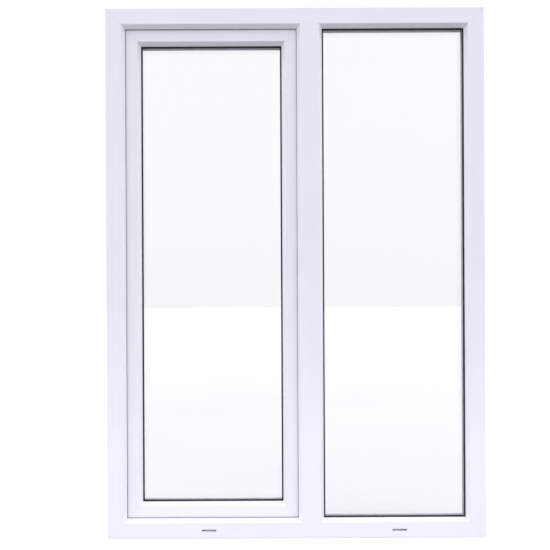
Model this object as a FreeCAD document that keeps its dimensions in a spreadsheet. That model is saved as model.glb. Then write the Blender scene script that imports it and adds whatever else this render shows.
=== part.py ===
"""Casement window with one inward-opening side-hung sash and one fixed light, in white hollow profiles.

Millimetres. +Z is up, +Y points into the room and +X to the right of someone looking at the window from
outside. The origin is the middle of the sill's underside. Depths y are counted from the outer frame's
outside face, so each body is placed half a frame depth towards -Y.
"""

import FreeCAD, Part
import math
import os
from collections import namedtuple

import Sketcher
from FreeCAD import Vector

# Driving dimensions: each can be changed by itself.
DIMENSIONS = {
    # the whole window
    "width_all": 1000,
    "height_all": 1400,
    "frame_depth": 60,
    # outer frame section, in from its outer edge
    "frame_flat": 41.5,
    "bevel_rise": 8.5,
    "bevel_depth": 14.5,
    "lip_edge": 1,
    "rebate_height": 20,
    "mullion_flat": 50,
    # sash section
    "sash_setback": 19,
    "sash_flat": 39,
    "air_gap": 12,
    "flange_overlap": 8,
    "flange_gap": 3,
    "flange_depth": 16,
    # walls, chambers and reinforcement
    "outer_wall": 2.5,
    "inner_web": 1.5,
    "rear_chamber": 10,
    "rod_groove_web": 2,
    "steel_play": 0.3,
    "steel_wall": 1.5,
    # rounded edges of the sections, and the chambers' stand-off from the bevels
    "outer_round": 1.5,
    "bevel_round": 2.5,
    "room_round": 1,
    "rebate_round": 1.2,
    "flange_round": 2,
    "bevel_stand_off": 3.5,
    "chamber_step": 2,
    # grooves in the sections
    "gasket_groove": 3,
    "bead_groove_width": 2.6,
    "bead_groove_depth": 4,
    "bead_groove_inset": 3,
    "seam_width": 1.3,
    "seam_depth": 0.3,
    # glass
    "pane_thickness": 4,
    "cavity": 16,
    "edge_clearance": 5,
    "outer_gasket": 4.5,
    "bead_gasket": 3,
    "gasket_proud": 3.4,
    "gasket_play": 0.2,
    "gasket_round": 0.6,
    "seal_proud": 0.7,
    "bead_play": 0.2,
    "bead_crest": 1.5,
    "pane_corner": 1,
    "edge_seal": 6,
    "spacer_height": 6.5,
    # seals of the sash
    "rebate_gasket": 3.2,
    "flange_gasket": 2.7,
    "overlap_seal_inset": 1,
    "overlap_seal_width": 5,
    "gasket_root_inset": 25,
    # drainage
    "drain_length": 39,
    "drain_height": 5,
    "drain_level": 21,
    "drain_offset": 10,
    "drain_floor_gap": 0.5,
    # hinges
    "hinge_inset": 240,
    "hinge_from_flange": 10,
    "knuckle_radius": 7.5,
    "pin_radius": 4,
    "bush_wall": 1.2,
    "running_play": 0.05,
    "leaf_thickness": 2.5,
    "leaf_corner": 3,
    "leaf_post": 10,
    "sash_leaf_screw_inset": 6,
    "sash_leaf_reach": 18,
    "sash_leaf_gap": 2.6,
    "bore_play": 0.02,
    "pin_cap": 3,
    "pin_cap_round": 1.2,
    "frame_leaf_height": 110,
    "sash_leaf_height": 70,
    "knuckle_stack": 70,
    "knuckle_middle": 24,
    "knuckle_gap": 0.3,
    # lock, drive rod and keeps
    "groove_from_flange": 13,
    "hardware_groove_width": 16.4,
    "hardware_groove_depth": 3,
    "rod_groove_width": 11,
    "rod_groove_depth": 5,
    "faceplate_thickness": 2.4,
    "faceplate_width": 16,
    "faceplate_end": 110,
    "faceplate_corner": 5,
    "faceplate_screw_steps": 28,
    "faceplate_screw_end": 12,
    "faceplate_screw_length": 13.5,
    "faceplate_head_height": 1.2,
    "rod_play": 0.2,
    "rod_thickness": 2.4,
    "rod_width": 10.4,
    "rod_end": 180,
    "gear_module": 1.25,
    "gear_teeth": 12,
    "gear_width": 8,
    "tooth_height": 1.0,
    "tooth_thinning": 0.25,
    "case_height": 120,
    "case_width": 16,
    "case_wall": 2.3,
    "case_back_wall": 1,
    "gear_room": 1.3375,
    "hub_radius": 6.4,
    "spindle_size": 7,
    "cam_end": 250,
    "middle_cam_rise": 150,
    "cam_stem_radius": 3.5,
    "cam_head_radius": 6,
    "cam_head": 3,
    "cam_reach": 8.5,
    "keep_base": 1.5,
    "keep_wall": 2.7,
    "keep_reach": 8,
    "keep_length": 70,
    "keep_screw_inset": 6,
    "keep_screw_length": 7,
    "keep_screw_head_radius": 3.5,
    "keep_screw_head_height": 0.8,
    "keep_overhang": 7,
    "cam_running_gap": 0.3,
    # handle
    "rose_width": 26,
    "rose_height": 66,
    "rose_thickness": 9.5,
    "handle_screw_spread": 21.5,
    "lever_length": 118,
    "lever_width": 21,
    "lever_tip_width": 17,
    "lever_thickness": 13,
    "lever_standoff": 28,
    "lever_back_round": 4.5,
    "lever_front_round": 3,
    "spindle_play": 0.1,
    "neck_seat": 4,
    "handle_head_depth": 4,
    "neck_radius": 9,
    # wall fixings and small screws
    "fixing_radius": 5.1,
    "fixing_end": 150,
    "screw_radius": 2.1,
    "screw_head_radius": 4.0,
    "screw_head_height": 1.8,
    "screw_head_round": 1.2,
    "frame_leaf_screw_length": 24,
    "sash_leaf_screw_length": 14,
    "pilot_play": 0.05,
    "washer_radius": 5.2,
    "connector_length": 30,
    "connector_play": 1.5,
    "connector_screw_radius": 2.4,
    "connector_screw_offset": 7,
    "connector_head_radius": 4.5,
    "handle_screw_radius": 2.5,
    "handle_screw_head_radius": 4.6,
    "clearance_hole": 2.6,
    "block_length": 100,
    "block_inset": 60,
}

Round = namedtuple("Round", "across up radius")

# Which way each origin plane's normal points along its own world axis.
NORMAL_SIDE = {"XY_Plane": 1, "XZ_Plane": -1, "YZ_Plane": 1}

doc = FreeCAD.newDocument("CasementWindow")
sheet = doc.addObject("Spreadsheet::Sheet", "Dimensions")
layout = doc.addObject("Spreadsheet::Sheet", "Layout")
bodies = []


class Size:
    """A length that holds its value and the sheet expression that it comes from."""

    def __init__(self, value, text):
        self.value = float(value)
        self.text = text

    def __add__(self, other):
        other = as_size(other)
        return Size(self.value + other.value, f"({self.text} + {other.text})")

    def __sub__(self, other):
        other = as_size(other)
        return Size(self.value - other.value, f"({self.text} - {other.text})")

    def __mul__(self, factor):
        factor = as_size(factor)
        return Size(self.value * factor.value, f"{self.text} * {factor.text}")

    def __truediv__(self, divisor):
        divisor = as_size(divisor)
        return Size(self.value / divisor.value, f"{self.text} / {divisor.text}")

    def __neg__(self):
        return Size(-self.value, f"(0 - {self.text})")

    def __radd__(self, other):
        return as_size(other) + self

    def __rsub__(self, other):
        return as_size(other) - self

    def __rmul__(self, factor):
        return as_size(factor) * self


def as_size(number):
    """Turn a plain number into a Size, and leave a Size as it is."""
    if isinstance(number, Size):
        return number
    text = repr(float(number))
    return Size(number, text if number >= 0 else f"({text})")


def fill_sheet():
    """Write the driving dimensions into the sheet and return them by name."""
    sizes = {}
    for row, (name, value) in enumerate(DIMENSIONS.items(), start=1):
        sheet.set(f"A{row}", name)
        sheet.set(f"B{row}", str(value))
        sheet.setAlias(f"B{row}", name)
        sizes[name] = Size(value, f"Dimensions.{name}")
    return namedtuple("Sizes", sizes)(**sizes)


def place(name, size):
    """Name a derived place or size in the layout sheet, and return it by that name."""
    row = len([cell for cell in layout.getUsedCells() if cell.startswith("A")]) + 1
    layout.set(f"A{row}", name)
    layout.set(f"B{row}", "=" + size.text)
    layout.setAlias(f"B{row}", name)
    return Size(size.value, f"Layout.{name}")


D = fill_sheet()

# Outer frame section, as distances in from the outer edge and depths from the outside face.
FRAME_FACE = place("frame_face", D.frame_flat + D.bevel_rise)
LIP = place("lip_back", D.bevel_depth + D.lip_edge)
BASE = place("rebate_floor", FRAME_FACE - D.rebate_height)
STEEL_FRONT = place("steel_front", LIP - D.outer_wall + D.inner_web)
STEEL_BACK = place("steel_back", D.frame_depth - D.outer_wall - D.rear_chamber - D.inner_web)
CONNECTOR_Y = place("connector_depth", (STEEL_FRONT + STEEL_BACK) / 2 - 0.25)
STEM = place("mullion_stem", D.mullion_flat + 2 * D.bevel_rise - 2 * D.rebate_height)

# Sash section: inward distances v are counted from the flange's outer edge.
FLANGE_LAP = place("flange_lap", D.flange_overlap + D.air_gap)
FLANGE_FRONT = place("flange_front", D.frame_depth + D.flange_gap)
SASH_BACK = place("sash_back", FLANGE_FRONT + D.flange_depth)
SASH_LIP = place("sash_lip_back", D.sash_setback + LIP)
SASH_BEVEL_START = place("sash_bevel_start", FLANGE_LAP + D.sash_flat)
SASH_FACE = place("sash_face", SASH_BEVEL_START + D.bevel_rise)
GLAZING_FLOOR = place("glazing_floor", SASH_FACE - D.rebate_height)
SASH_STEEL_TOP = place("sash_steel_top", GLAZING_FLOOR - D.outer_wall)
ROD_GROOVE_FLOOR = place("rod_groove_floor", FLANGE_LAP + D.hardware_groove_depth + D.rod_groove_depth)
SASH_STEEL_BOTTOM = place("sash_steel_bottom", ROD_GROOVE_FLOOR + D.rod_groove_web)
SASH_STEEL_FRONT = place("sash_steel_front", SASH_LIP - D.outer_wall + D.inner_web)
SASH_STEEL_BACK = place("sash_steel_back", FLANGE_FRONT + 1)

# The mullion stands where both lights show the same width of glass.
SASH_SHOWN = place("sash_shown", D.sash_flat + D.bevel_rise + D.air_gap - D.rebate_height)
MULLION_FACE = place("mullion_face", D.mullion_flat + 2 * D.bevel_rise)
GLASS_SHOWN = place("glass_shown", (D.width_all - 2 * FRAME_FACE - MULLION_FACE - 2 * SASH_SHOWN) / 2)
MULLION_X = place("mullion_centre", D.width_all / 2 - FRAME_FACE - GLASS_SHOWN - MULLION_FACE / 2)

# Hinge and lock.
HINGE_X = place("hinge_axis_x", BASE - D.flange_overlap - D.hinge_from_flange - D.width_all / 2)
HINGE_Y = place("hinge_axis_depth", SASH_BACK + D.leaf_thickness - D.knuckle_radius)
HINGE_HEIGHTS = {
    "lower": place("hinge_low", D.hinge_inset),
    "upper": place("hinge_high", D.height_all - D.hinge_inset),
}
LOCK_EDGE = place("lock_edge", MULLION_X - STEM / 2 - D.air_gap)
HANDLE_Z = place("handle_height", D.height_all / 2)
ROD_OUT = place("rod_outer_face", LOCK_EDGE - D.faceplate_thickness - D.rod_play)
ROD_IN = place("rod_inner_face", ROD_OUT - D.rod_thickness)
PITCH_RADIUS = place("pitch_radius", D.gear_module * D.gear_teeth / 2)
TOOTH_ROOT = place("tooth_root", D.gear_module * 1.25)
GEAR_X = place("gear_axis_x", ROD_IN - TOOTH_ROOT - PITCH_RADIUS)
TOOTH_PITCH = place("tooth_pitch", D.gear_module * math.pi)
ROD_TRAVEL = place("rod_travel", PITCH_RADIUS * math.pi)
GROOVE_Y = place("groove_centre", FLANGE_FRONT - D.groove_from_flange)
GEAR_REACH = place("gear_reach", PITCH_RADIUS + D.tooth_height + D.gear_room)
CASE_BACK = place("case_back", GEAR_X - GEAR_REACH - D.case_back_wall)
CAM_HEIGHTS = {
    "lower": place("cam_low", D.cam_end),
    "middle": place("cam_middle", HANDLE_Z + D.middle_cam_rise),
    "upper": place("cam_high", D.height_all - D.cam_end),
}
KEEP_X = place("keep_face_x", MULLION_X - STEM / 2)
HINGE_SCREW_Z = place("frame_leaf_screw", (D.frame_leaf_height + D.knuckle_stack) / 4)
SASH_LEAF_SCREW_Z = place("sash_leaf_screw", D.sash_leaf_height / 2 - 10)
SASH_LEAF_SCREW_X = place("sash_leaf_screw_x", HINGE_X + FLANGE_LAP + D.sash_leaf_screw_inset)
PILOT = place("pilot_radius", D.screw_radius + D.pilot_play)


class Opening:
    """A rectangle seen square on, with sides that pieces run along or fit into."""

    def __init__(self, left, right, bottom, top):
        self.left = as_size(left)
        self.right = as_size(right)
        self.bottom = as_size(bottom)
        self.top = as_size(top)

    def inset(self, distance):
        """The rectangle that lies this far inside."""
        return Opening(
            self.left + distance, self.right - distance, self.bottom + distance, self.top - distance
        )

    def corners(self):
        """The four corners in order."""
        return [
            (self.left, self.bottom),
            (self.right, self.bottom),
            (self.right, self.top),
            (self.left, self.top),
        ]

    def side(self, name):
        """One of its sides by name."""
        return Side(self, name)


class Side:
    """One side of an opening: s runs along it, and u runs inward from it."""

    def __init__(self, opening, name):
        self.opening = opening
        self.name = name
        self.level = name in ("bottom", "top")
        self.plane = "YZ_Plane" if self.level else "XY_Plane"
        self.start = opening.left if self.level else opening.bottom
        self.end = opening.right if self.level else opening.top

    def inward(self, u):
        """The world coordinate, X or Z, that lies u inward of this side."""
        edge = getattr(self.opening, self.name)
        return edge + u if self.name in ("bottom", "left") else edge - u

    def section(self, y, u):
        """Where the section point (y, u) falls on the sketch plane across this side."""
        return (as_size(y), self.inward(u)) if self.level else (self.inward(u), as_size(y))

    def seen(self, s, u):
        """Where the point (s, u) falls on the plane of the window."""
        return (as_size(s), self.inward(u)) if self.level else (self.inward(u), as_size(s))


    def strip(self, start, end, low, high):
        """The corners of a rectangle along this side, seen square on."""
        return [self.seen(start, low), self.seen(end, low), self.seen(end, high), self.seen(start, high)]


WHOLE = Opening(-D.width_all / 2, D.width_all / 2, 0, D.height_all)
SASH_REBATE = Opening(WHOLE.left + BASE, MULLION_X - STEM / 2, BASE, D.height_all - BASE)
FIXED_REBATE = Opening(MULLION_X + STEM / 2, WHOLE.right - BASE, BASE, D.height_all - BASE)
SASH_WHOLE = SASH_REBATE.inset(-D.flange_overlap)
SASH_GLAZING = SASH_WHOLE.inset(GLAZING_FLOOR)
SIDES = ("bottom", "top", "left", "right")


def new_body(label):
    """Start a sub-part whose depths are counted from the frame's outside face."""
    body = doc.addObject("PartDesign::Body", "Body")
    body.Label = label
    body.setExpression("Placement.Base.y", "0 - Dimensions.frame_depth / 2")
    bodies.append(body)
    return body


def bind(sketch, kind, element, point, size):
    """Fix one coordinate of a sketch point to a size."""
    constraint = sketch.addConstraint(Sketcher.Constraint(kind, -1, 1, element, point, size.value))
    sketch.setExpression(f"Constraints[{constraint}]", size.text)


def draw_polygon(sketch, points):
    """Draw a closed outline of straight lines, each corner bound to its two sizes."""
    points = [(as_size(x), as_size(y)) for x, y in points]
    spots = [Vector(x.value, y.value, 0) for x, y in points]
    first = sketch.GeometryCount
    count = len(points)
    for index in range(count):
        sketch.addGeometry(Part.LineSegment(spots[index], spots[(index + 1) % count]), False)
    for index, (x, y) in enumerate(points):
        before = first + (index - 1) % count
        sketch.addConstraint(Sketcher.Constraint("Coincident", before, 2, first + index, 1))
        bind(sketch, "DistanceX", first + index, 1, x)
        bind(sketch, "DistanceY", first + index, 1, y)


def draw_circle(sketch, circle):
    """Draw a circle whose centre and radius are bound to sizes."""
    across, up, radius = (as_size(part) for part in circle)
    centre = Vector(across.value, up.value, 0)
    element = sketch.addGeometry(Part.Circle(centre, Vector(0, 0, 1), radius.value), False)
    bind(sketch, "DistanceX", element, 3, across)
    bind(sketch, "DistanceY", element, 3, up)
    constraint = sketch.addConstraint(Sketcher.Constraint("Radius", element, radius.value))
    sketch.setExpression(f"Constraints[{constraint}]", radius.text)


def draw(body, plane, loops, level):
    """Sketch closed loops on one of the body's origin planes, moved to a level along its axis."""
    sketch = body.newObject("Sketcher::SketchObject", "Sketch")
    support = next(item for item in body.Origin.OriginFeatures if item.Role == plane)
    sketch.AttachmentSupport = [(support, "")]
    sketch.MapMode = "FlatFace"
    offset = as_size(level) * NORMAL_SIDE[plane]
    sketch.setExpression("AttachmentOffset.Base.z", offset.text)
    for loop in loops:
        if isinstance(loop, Round):
            draw_circle(sketch, loop)
        else:
            draw_polygon(sketch, loop)
    return sketch


def add(body, plane, loops, low, high):
    """Pad loops from one level to a higher one along the plane's world axis."""
    start = low if NORMAL_SIDE[plane] > 0 else high
    pad = body.newObject("PartDesign::Pad", "Pad")
    pad.Profile = draw(body, plane, loops, start)
    pad.setExpression("Length", (as_size(high) - low).text)
    body.Tip = pad
    return pad


def cut(body, plane, loops, low, high):
    """Pocket loops from one level to a higher one along the plane's world axis."""
    start = high if NORMAL_SIDE[plane] > 0 else low
    pocket = body.newObject("PartDesign::Pocket", "Pocket")
    pocket.Profile = draw(body, plane, loops, start)
    pocket.setExpression("Length", (as_size(high) - low).text)
    body.Tip = pocket
    return pocket


def fillet(body, radius, chosen):
    """Round the edges of the body's present shape that a test picks."""
    doc.recompute()
    base = body.Tip
    edges = base.Shape.Edges
    names = [f"Edge{number}" for number, edge in enumerate(edges, start=1) if chosen(edge)]
    feature = body.newObject("PartDesign::Fillet", "Fillet")
    feature.Base = (base, names)
    feature.setExpression("Radius", as_size(radius).text)
    body.Tip = feature


def run_through(side, y, u):
    """A test for the long edge of a profile at one point of its section."""
    across, up = side.section(y, u)
    axes = ("y", "z") if side.level else ("x", "y")

    def chosen(edge):
        ends = [vertex.Point for vertex in edge.Vertexes]
        return len(ends) == 2 and all(
            abs(getattr(end, axes[0]) - across.value) < 0.001
            and abs(getattr(end, axes[1]) - up.value) < 0.001
            for end in ends
        )

    return chosen


def facing(axis, value=None):
    """A test for edges that run along an axis, or that lie at one level of it."""

    def chosen(edge):
        box = edge.BoundBox
        reach = {"x": box.XLength, "y": box.YLength, "z": box.ZLength}
        if value is None:
            others = sum(length for name, length in reach.items() if name != axis)
            return others < 0.001 < reach[axis]
        middle = getattr(box.Center, axis)
        return reach[axis] < 0.001 and abs(middle - value.value) < 0.001

    return chosen


def mitre(body, side, lowest, highest):
    """Cut both ends of a length at 45 degrees between two distances inward."""
    wedges = []
    for end, step in ((side.start, 1), (side.end, -1)):
        tail = end + step * (lowest - 1)
        wedges.append(
            [
                side.seen(tail, lowest - 1),
                side.seen(end + step * (highest + 1), highest + 1),
                side.seen(tail, highest + 1),
            ]
        )
    cut(body, "XZ_Plane", wedges, -1, SASH_BACK + 1)


def weld_seams(body, side, highest, front, back):
    """Cut the shallow dressed grooves that run along both welded mitres, outside and inside."""
    strips = []
    for end, step in ((side.start, 1), (side.end, -1)):
        strips.append(
            [
                side.seen(end - step, -1),
                side.seen(end + step * (highest + 1), highest + 1),
                side.seen(end + step * (highest + 1 + D.seam_width), highest + 1),
                side.seen(end + step * (D.seam_width - 1), -1),
            ]
        )
    cut(body, "XZ_Plane", strips, front - 1, front + D.seam_depth)
    cut(body, "XZ_Plane", strips, back - D.seam_depth, back + 1)


def ring(opening, outer, inner):
    """The two loops of a rectangular ring between two distances inside an opening."""
    return [opening.inset(outer).corners(), opening.inset(inner).corners()]


def box_loop(left, right, bottom, top):
    """The corners of a rectangle between two pairs of levels."""
    return Opening(left, right, bottom, top).corners()


# ---------------------------------------------------------------- outer frame


def gasket_groove(lip, face):
    """Corners of the groove for a gasket's root, down the inside of an upstand."""
    near = face - D.gasket_groove
    far = face - 2 * D.gasket_groove
    return [(lip, near), (lip - D.gasket_groove, near), (lip - D.gasket_groove, far), (lip, far)]


def bead_groove(back, floor):
    """Corners of the groove that a glazing bead's foot clips into."""
    far = back - D.bead_groove_inset
    near = far - D.bead_groove_width
    bottom = floor - D.bead_groove_depth
    return [(near, floor), (near, bottom), (far, bottom), (far, floor)]


def frame_section():
    """The outline and chambers of the outer frame's profile, as (depth, inward) points."""
    outline = [(0, 0), (0, D.frame_flat), (D.bevel_depth, FRAME_FACE), (LIP, FRAME_FACE)]
    outline += gasket_groove(LIP, FRAME_FACE)
    outline += [(LIP, BASE)]
    outline += bead_groove(D.frame_depth, BASE)
    outline += [(D.frame_depth, BASE), (D.frame_depth, 0)]
    wall = D.outer_wall
    front = [
        (wall, wall),
        (wall, D.frame_flat - D.chamber_step),
        (wall + D.bevel_stand_off, D.frame_flat),
        (LIP - wall, D.frame_flat),
        (LIP - wall, wall),
    ]
    middle = box_loop(STEEL_FRONT, STEEL_BACK, wall, BASE - wall)
    back = box_loop(
        STEEL_BACK + D.inner_web, D.frame_depth - wall, wall, BASE - D.bead_groove_depth - wall
    )
    return [outline, front, middle, back]


def across_side(side, loops):
    """Carry section loops onto the sketch plane across a side."""
    return [[side.section(y, u) for y, u in loop] for loop in loops]


def frame_member(label, name):
    """One mitred length of the outer frame."""
    body = new_body(label)
    side = WHOLE.side(name)
    add(body, side.plane, across_side(side, frame_section()), side.start, side.end)
    fillet(body, D.outer_round, run_through(side, 0, 0))
    fillet(body, D.bevel_round, run_through(side, 0, D.frame_flat))
    fillet(body, D.room_round, run_through(side, D.frame_depth, 0))
    fillet(body, D.rebate_round, run_through(side, D.frame_depth, BASE))
    mitre(body, side, as_size(0), FRAME_FACE)
    weld_seams(body, side, FRAME_FACE, as_size(0), D.frame_depth)
    return body


def make_frame_members():
    """Head, sill and jambs, with the sill's drainage and the holes for wall fixings and screws."""
    head = frame_member("frame_head", "top")
    sill = frame_member("frame_sill", "bottom")
    left = frame_member("frame_jamb_left", "left")
    right = frame_member("frame_jamb_right", "right")
    drain(sill)
    for body, side in ((left, WHOLE.side("left")), (right, WHOLE.side("right"))):
        fixing_holes(body, side)
    for body, side in ((head, WHOLE.side("top")), (sill, WHOLE.side("bottom"))):
        mullion_screw_holes(body, side, BASE)
    cut(left, "XZ_Plane", hinge_screw_rounds(PILOT), STEEL_BACK - 1, D.frame_depth + 1)


def drain(sill):
    """Slots from each rebate into the front chamber, and out through the sill's outside face."""
    low = D.drain_level - D.drain_height / 2
    high = low + D.drain_height
    for opening, step in ((SASH_REBATE, -1), (FIXED_REBATE, 1)):
        middle = (opening.left + opening.right) / 2 + step * D.drain_offset
        half = D.drain_length / 2 - D.drain_height / 2
        outside = [box_loop(middle - half, middle + half, low, high)]
        cut(sill, "XZ_Plane", outside, -1, D.outer_wall + 1)
        ends = [Round(middle + way * half, D.drain_level, D.drain_height / 2) for way in (-1, 1)]
        cut(sill, "XZ_Plane", ends, -1, D.outer_wall + 1)
        floor = BASE + D.drain_floor_gap
        inside = [box_loop(middle - half, middle + half, floor, floor + D.drain_height)]
        cut(sill, "XZ_Plane", inside, LIP - D.outer_wall - 1, LIP + 1)


def fixing_holes(body, side):
    """Four holes through a jamb for its wall fixings, at even steps between the outer two."""
    step = (D.height_all - 2 * D.fixing_end) / 3
    rounds = [Round(D.frame_depth / 2, D.fixing_end + step * count, D.fixing_radius) for count in range(4)]
    low, high = sorted((side.inward(-1), side.inward(BASE + 1)), key=lambda size: size.value)
    cut(body, "YZ_Plane", rounds, low, high)


def mullion_screw_rounds(radius):
    """The two connector screws at each end of the mullion, seen from above."""
    return [Round(MULLION_X, CONNECTOR_Y + way * D.connector_screw_offset, radius) for way in (-1, 1)]


def mullion_screw_holes(body, side, depth):
    """Wide holes in the outer wall and close ones in the inner wall for the connector screws."""
    wide = (D.washer_radius, -1, D.outer_wall + 1)
    close = (D.clearance_hole, BASE - D.outer_wall - 1, depth + 1)
    for radius, near, far in (wide, close):
        low, high = sorted((side.inward(near), side.inward(far)), key=lambda size: size.value)
        cut(body, "XY_Plane", mullion_screw_rounds(radius), low, high)


def mullion_section():
    """The mullion's outline and chambers, as (across, depth) points about its centre line."""
    half_stem = STEM / 2
    half_face = MULLION_FACE / 2
    side = [(half_face, D.bevel_depth), (half_face, LIP)]
    side += [
        (half_face - D.gasket_groove, LIP),
        (half_face - D.gasket_groove, LIP - D.gasket_groove),
        (half_face - 2 * D.gasket_groove, LIP - D.gasket_groove),
        (half_face - 2 * D.gasket_groove, LIP),
        (half_stem, LIP),
    ]
    near = D.frame_depth - D.bead_groove_inset - D.bead_groove_width
    far = D.frame_depth - D.bead_groove_inset
    side += [
        (half_stem, near),
        (half_stem - D.bead_groove_depth, near),
        (half_stem - D.bead_groove_depth, far),
        (half_stem, far),
        (half_stem, D.frame_depth),
    ]
    side = [(D.mullion_flat / 2, as_size(0))] + side
    outline = side + [(-x, y) for x, y in reversed(side)]
    wall = D.outer_wall
    flat = D.mullion_flat / 2
    front = [
        (D.chamber_step - flat, wall),
        (flat - D.chamber_step, wall),
        (flat, wall + D.bevel_stand_off),
        (flat, LIP - wall),
        (-flat, LIP - wall),
        (-flat, wall + D.bevel_stand_off),
    ]
    middle = box_loop(wall - half_stem, half_stem - wall, STEEL_FRONT, STEEL_BACK)
    narrow = half_stem - D.bead_groove_depth - wall
    back = box_loop(-narrow, narrow, STEEL_BACK + D.inner_web, D.frame_depth - wall)
    return [outline, front, middle, back]


def make_mullion():
    """The mullion, with ends milled to sit over the head's and the sill's bevels."""
    body = new_body("mullion")
    loops = [[(MULLION_X + x, y) for x, y in loop] for loop in mullion_section()]
    add(body, "XY_Plane", loops, BASE, D.height_all - BASE)
    side = SASH_REBATE.side("right")
    for inward in ((D.mullion_flat - STEM) / 2, -(D.mullion_flat + STEM) / 2):
        fillet(body, D.bevel_round, run_through(side, 0, inward))
    for inward in (0, -STEM):
        fillet(body, D.rebate_round, run_through(side, D.frame_depth, inward))
    ends = []
    for end in (WHOLE.side("bottom"), WHOLE.side("top")):
        contour = [
            (-1, D.frame_flat),
            (0, D.frame_flat),
            (D.bevel_depth, FRAME_FACE),
            (LIP, FRAME_FACE),
            (LIP, BASE - 1),
            (-1, BASE - 1),
        ]
        ends.append([end.section(y, u) for y, u in contour])
    reach = MULLION_FACE / 2 + 1
    cut(body, "YZ_Plane", ends, MULLION_X - reach, MULLION_X + reach)
    depth = D.keep_screw_length - 1
    cut(body, "YZ_Plane", keep_screw_rounds(PILOT), KEEP_X - 1, KEEP_X + depth)


# ------------------------------------------------------------- reinforcement


def channel(front, back, outer, inner):
    """A U-shaped steel section, open towards its outer side, as (depth, inward) points."""
    return [
        (front, outer),
        (front + D.steel_wall, outer),
        (front + D.steel_wall, inner - D.steel_wall),
        (back - D.steel_wall, inner - D.steel_wall),
        (back - D.steel_wall, outer),
        (back, outer),
        (back, inner),
        (front, inner),
    ]


def make_frame_reinforcement():
    """Four steel channels in the outer frame's middle chambers."""
    body = new_body("frame_reinforcement")
    play = D.steel_play
    loop = channel(
        STEEL_FRONT + play, STEEL_BACK - play, D.outer_wall + play, BASE - D.outer_wall - play
    )
    for name in SIDES:
        side = WHOLE.side(name)
        add(body, side.plane, across_side(side, [loop]), side.start + FRAME_FACE, side.end - FRAME_FACE)
    for name in ("left", "right"):
        fixing_holes(body, WHOLE.side(name))
    for name in ("bottom", "top"):
        side = WHOLE.side(name)
        low, high = sorted((side.inward(BASE / 2), side.inward(BASE)), key=lambda size: size.value)
        cut(body, "XY_Plane", mullion_screw_rounds(D.clearance_hole), low, high)
    flange = STEEL_BACK - D.steel_play - D.steel_wall
    cut(body, "XZ_Plane", hinge_screw_rounds(PILOT), flange - 1, STEEL_BACK + 1)


CONNECTOR_END = place("connector_end", BASE + D.connector_length)


def make_mullion_reinforcement():
    """A square steel tube in the mullion, between its two end connectors."""
    body = new_body("mullion_reinforcement")
    half = STEM / 2 - D.outer_wall - D.steel_play
    front = STEEL_FRONT + D.steel_play
    back = STEEL_BACK - D.steel_play
    wall = D.steel_wall
    outer = box_loop(MULLION_X - half, MULLION_X + half, front, back)
    inner = box_loop(MULLION_X - half + wall, MULLION_X + half - wall, front + wall, back - wall)
    add(body, "XY_Plane", [outer, inner], CONNECTOR_END + 0.5, D.height_all - CONNECTOR_END - 0.5)


def make_mullion_connectors():
    """The die-cast blocks that carry the mullion's ends, with their screws."""
    blocks = new_body("mullion_connectors")
    screws = new_body("mullion_connector_screws")
    half = STEM / 2 - D.outer_wall - D.steel_play
    front = STEEL_FRONT + D.connector_play
    back = STEEL_BACK - D.connector_play
    outline = box_loop(MULLION_X - half, MULLION_X + half, front, back)
    web = BASE - D.outer_wall - D.steel_play - D.steel_wall
    for name in ("bottom", "top"):
        side = WHOLE.side(name)
        low, high = sorted((side.inward(BASE), side.inward(CONNECTOR_END)), key=lambda size: size.value)
        add(blocks, "XY_Plane", [outline], low, high)
        bores = mullion_screw_rounds(D.connector_screw_radius + D.pilot_play)
        cut(blocks, "XY_Plane", bores, low - 1, high + 1)
        head = (D.connector_head_radius, web - 3, web)
        shank = (D.connector_screw_radius, web - 1, CONNECTOR_END - 3)
        for radius, near, far in (head, shank):
            low, high = sorted((side.inward(near), side.inward(far)), key=lambda size: size.value)
            add(screws, "XY_Plane", mullion_screw_rounds(radius), low, high)


# ----------------------------------------------------------------- the glass


def make_glass(prefix, rebate, front):
    """Two panes, the warm-edge spacer between them and the sealant round its outside."""
    pane = rebate.inset(D.edge_clearance)
    inside = front + D.pane_thickness
    behind = inside + D.cavity
    outer = new_body(prefix + "_pane_outer")
    add(outer, "XZ_Plane", [pane.corners()], front, inside)
    inner = new_body(prefix + "_pane_inner")
    add(inner, "XZ_Plane", [pane.corners()], behind, behind + D.pane_thickness)
    for pane_body in (outer, inner):
        fillet(pane_body, D.pane_corner, facing("y"))
    sealant = new_body(prefix + "_edge_sealant")
    add(sealant, "XZ_Plane", ring(pane, 0, D.edge_seal), inside, behind)
    spacer = new_body(prefix + "_spacer")
    add(spacer, "XZ_Plane", ring(pane, D.edge_seal, D.edge_seal + D.spacer_height), inside, behind)


def gasket(label, rebate, front, thickness, proud):
    """A gasket against an upstand: its lip round the opening, and its root in the groove."""
    body = new_body(label)
    near = D.rebate_height - 2 * D.gasket_groove
    add(body, "XZ_Plane", ring(rebate, near, D.rebate_height + proud), front, front + thickness)
    play = D.gasket_play
    roots = []
    for name in SIDES:
        side = rebate.side(name)
        start = side.start + D.gasket_root_inset
        end = side.end - D.gasket_root_inset
        low = near + play
        high = near + D.gasket_groove - play
        roots.append(side.strip(start, end, low, high))
    add(body, "XZ_Plane", roots, front - D.gasket_groove + play, front)
    inner = rebate.inset(D.rebate_height + proud)
    back = front + thickness

    def lip_edges(edge):
        box = edge.BoundBox
        flat = box.YLength < 0.001 and abs(box.YMin - back.value) < 0.001
        inside = (
            box.XMin > inner.left.value - 0.001
            and box.XMax < inner.right.value + 0.001
            and box.ZMin > inner.bottom.value - 0.001
            and box.ZMax < inner.top.value + 0.001
        )
        return flat and inside

    if proud.value > 1:
        fillet(body, D.gasket_round, lip_edges)
    return body


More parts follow.
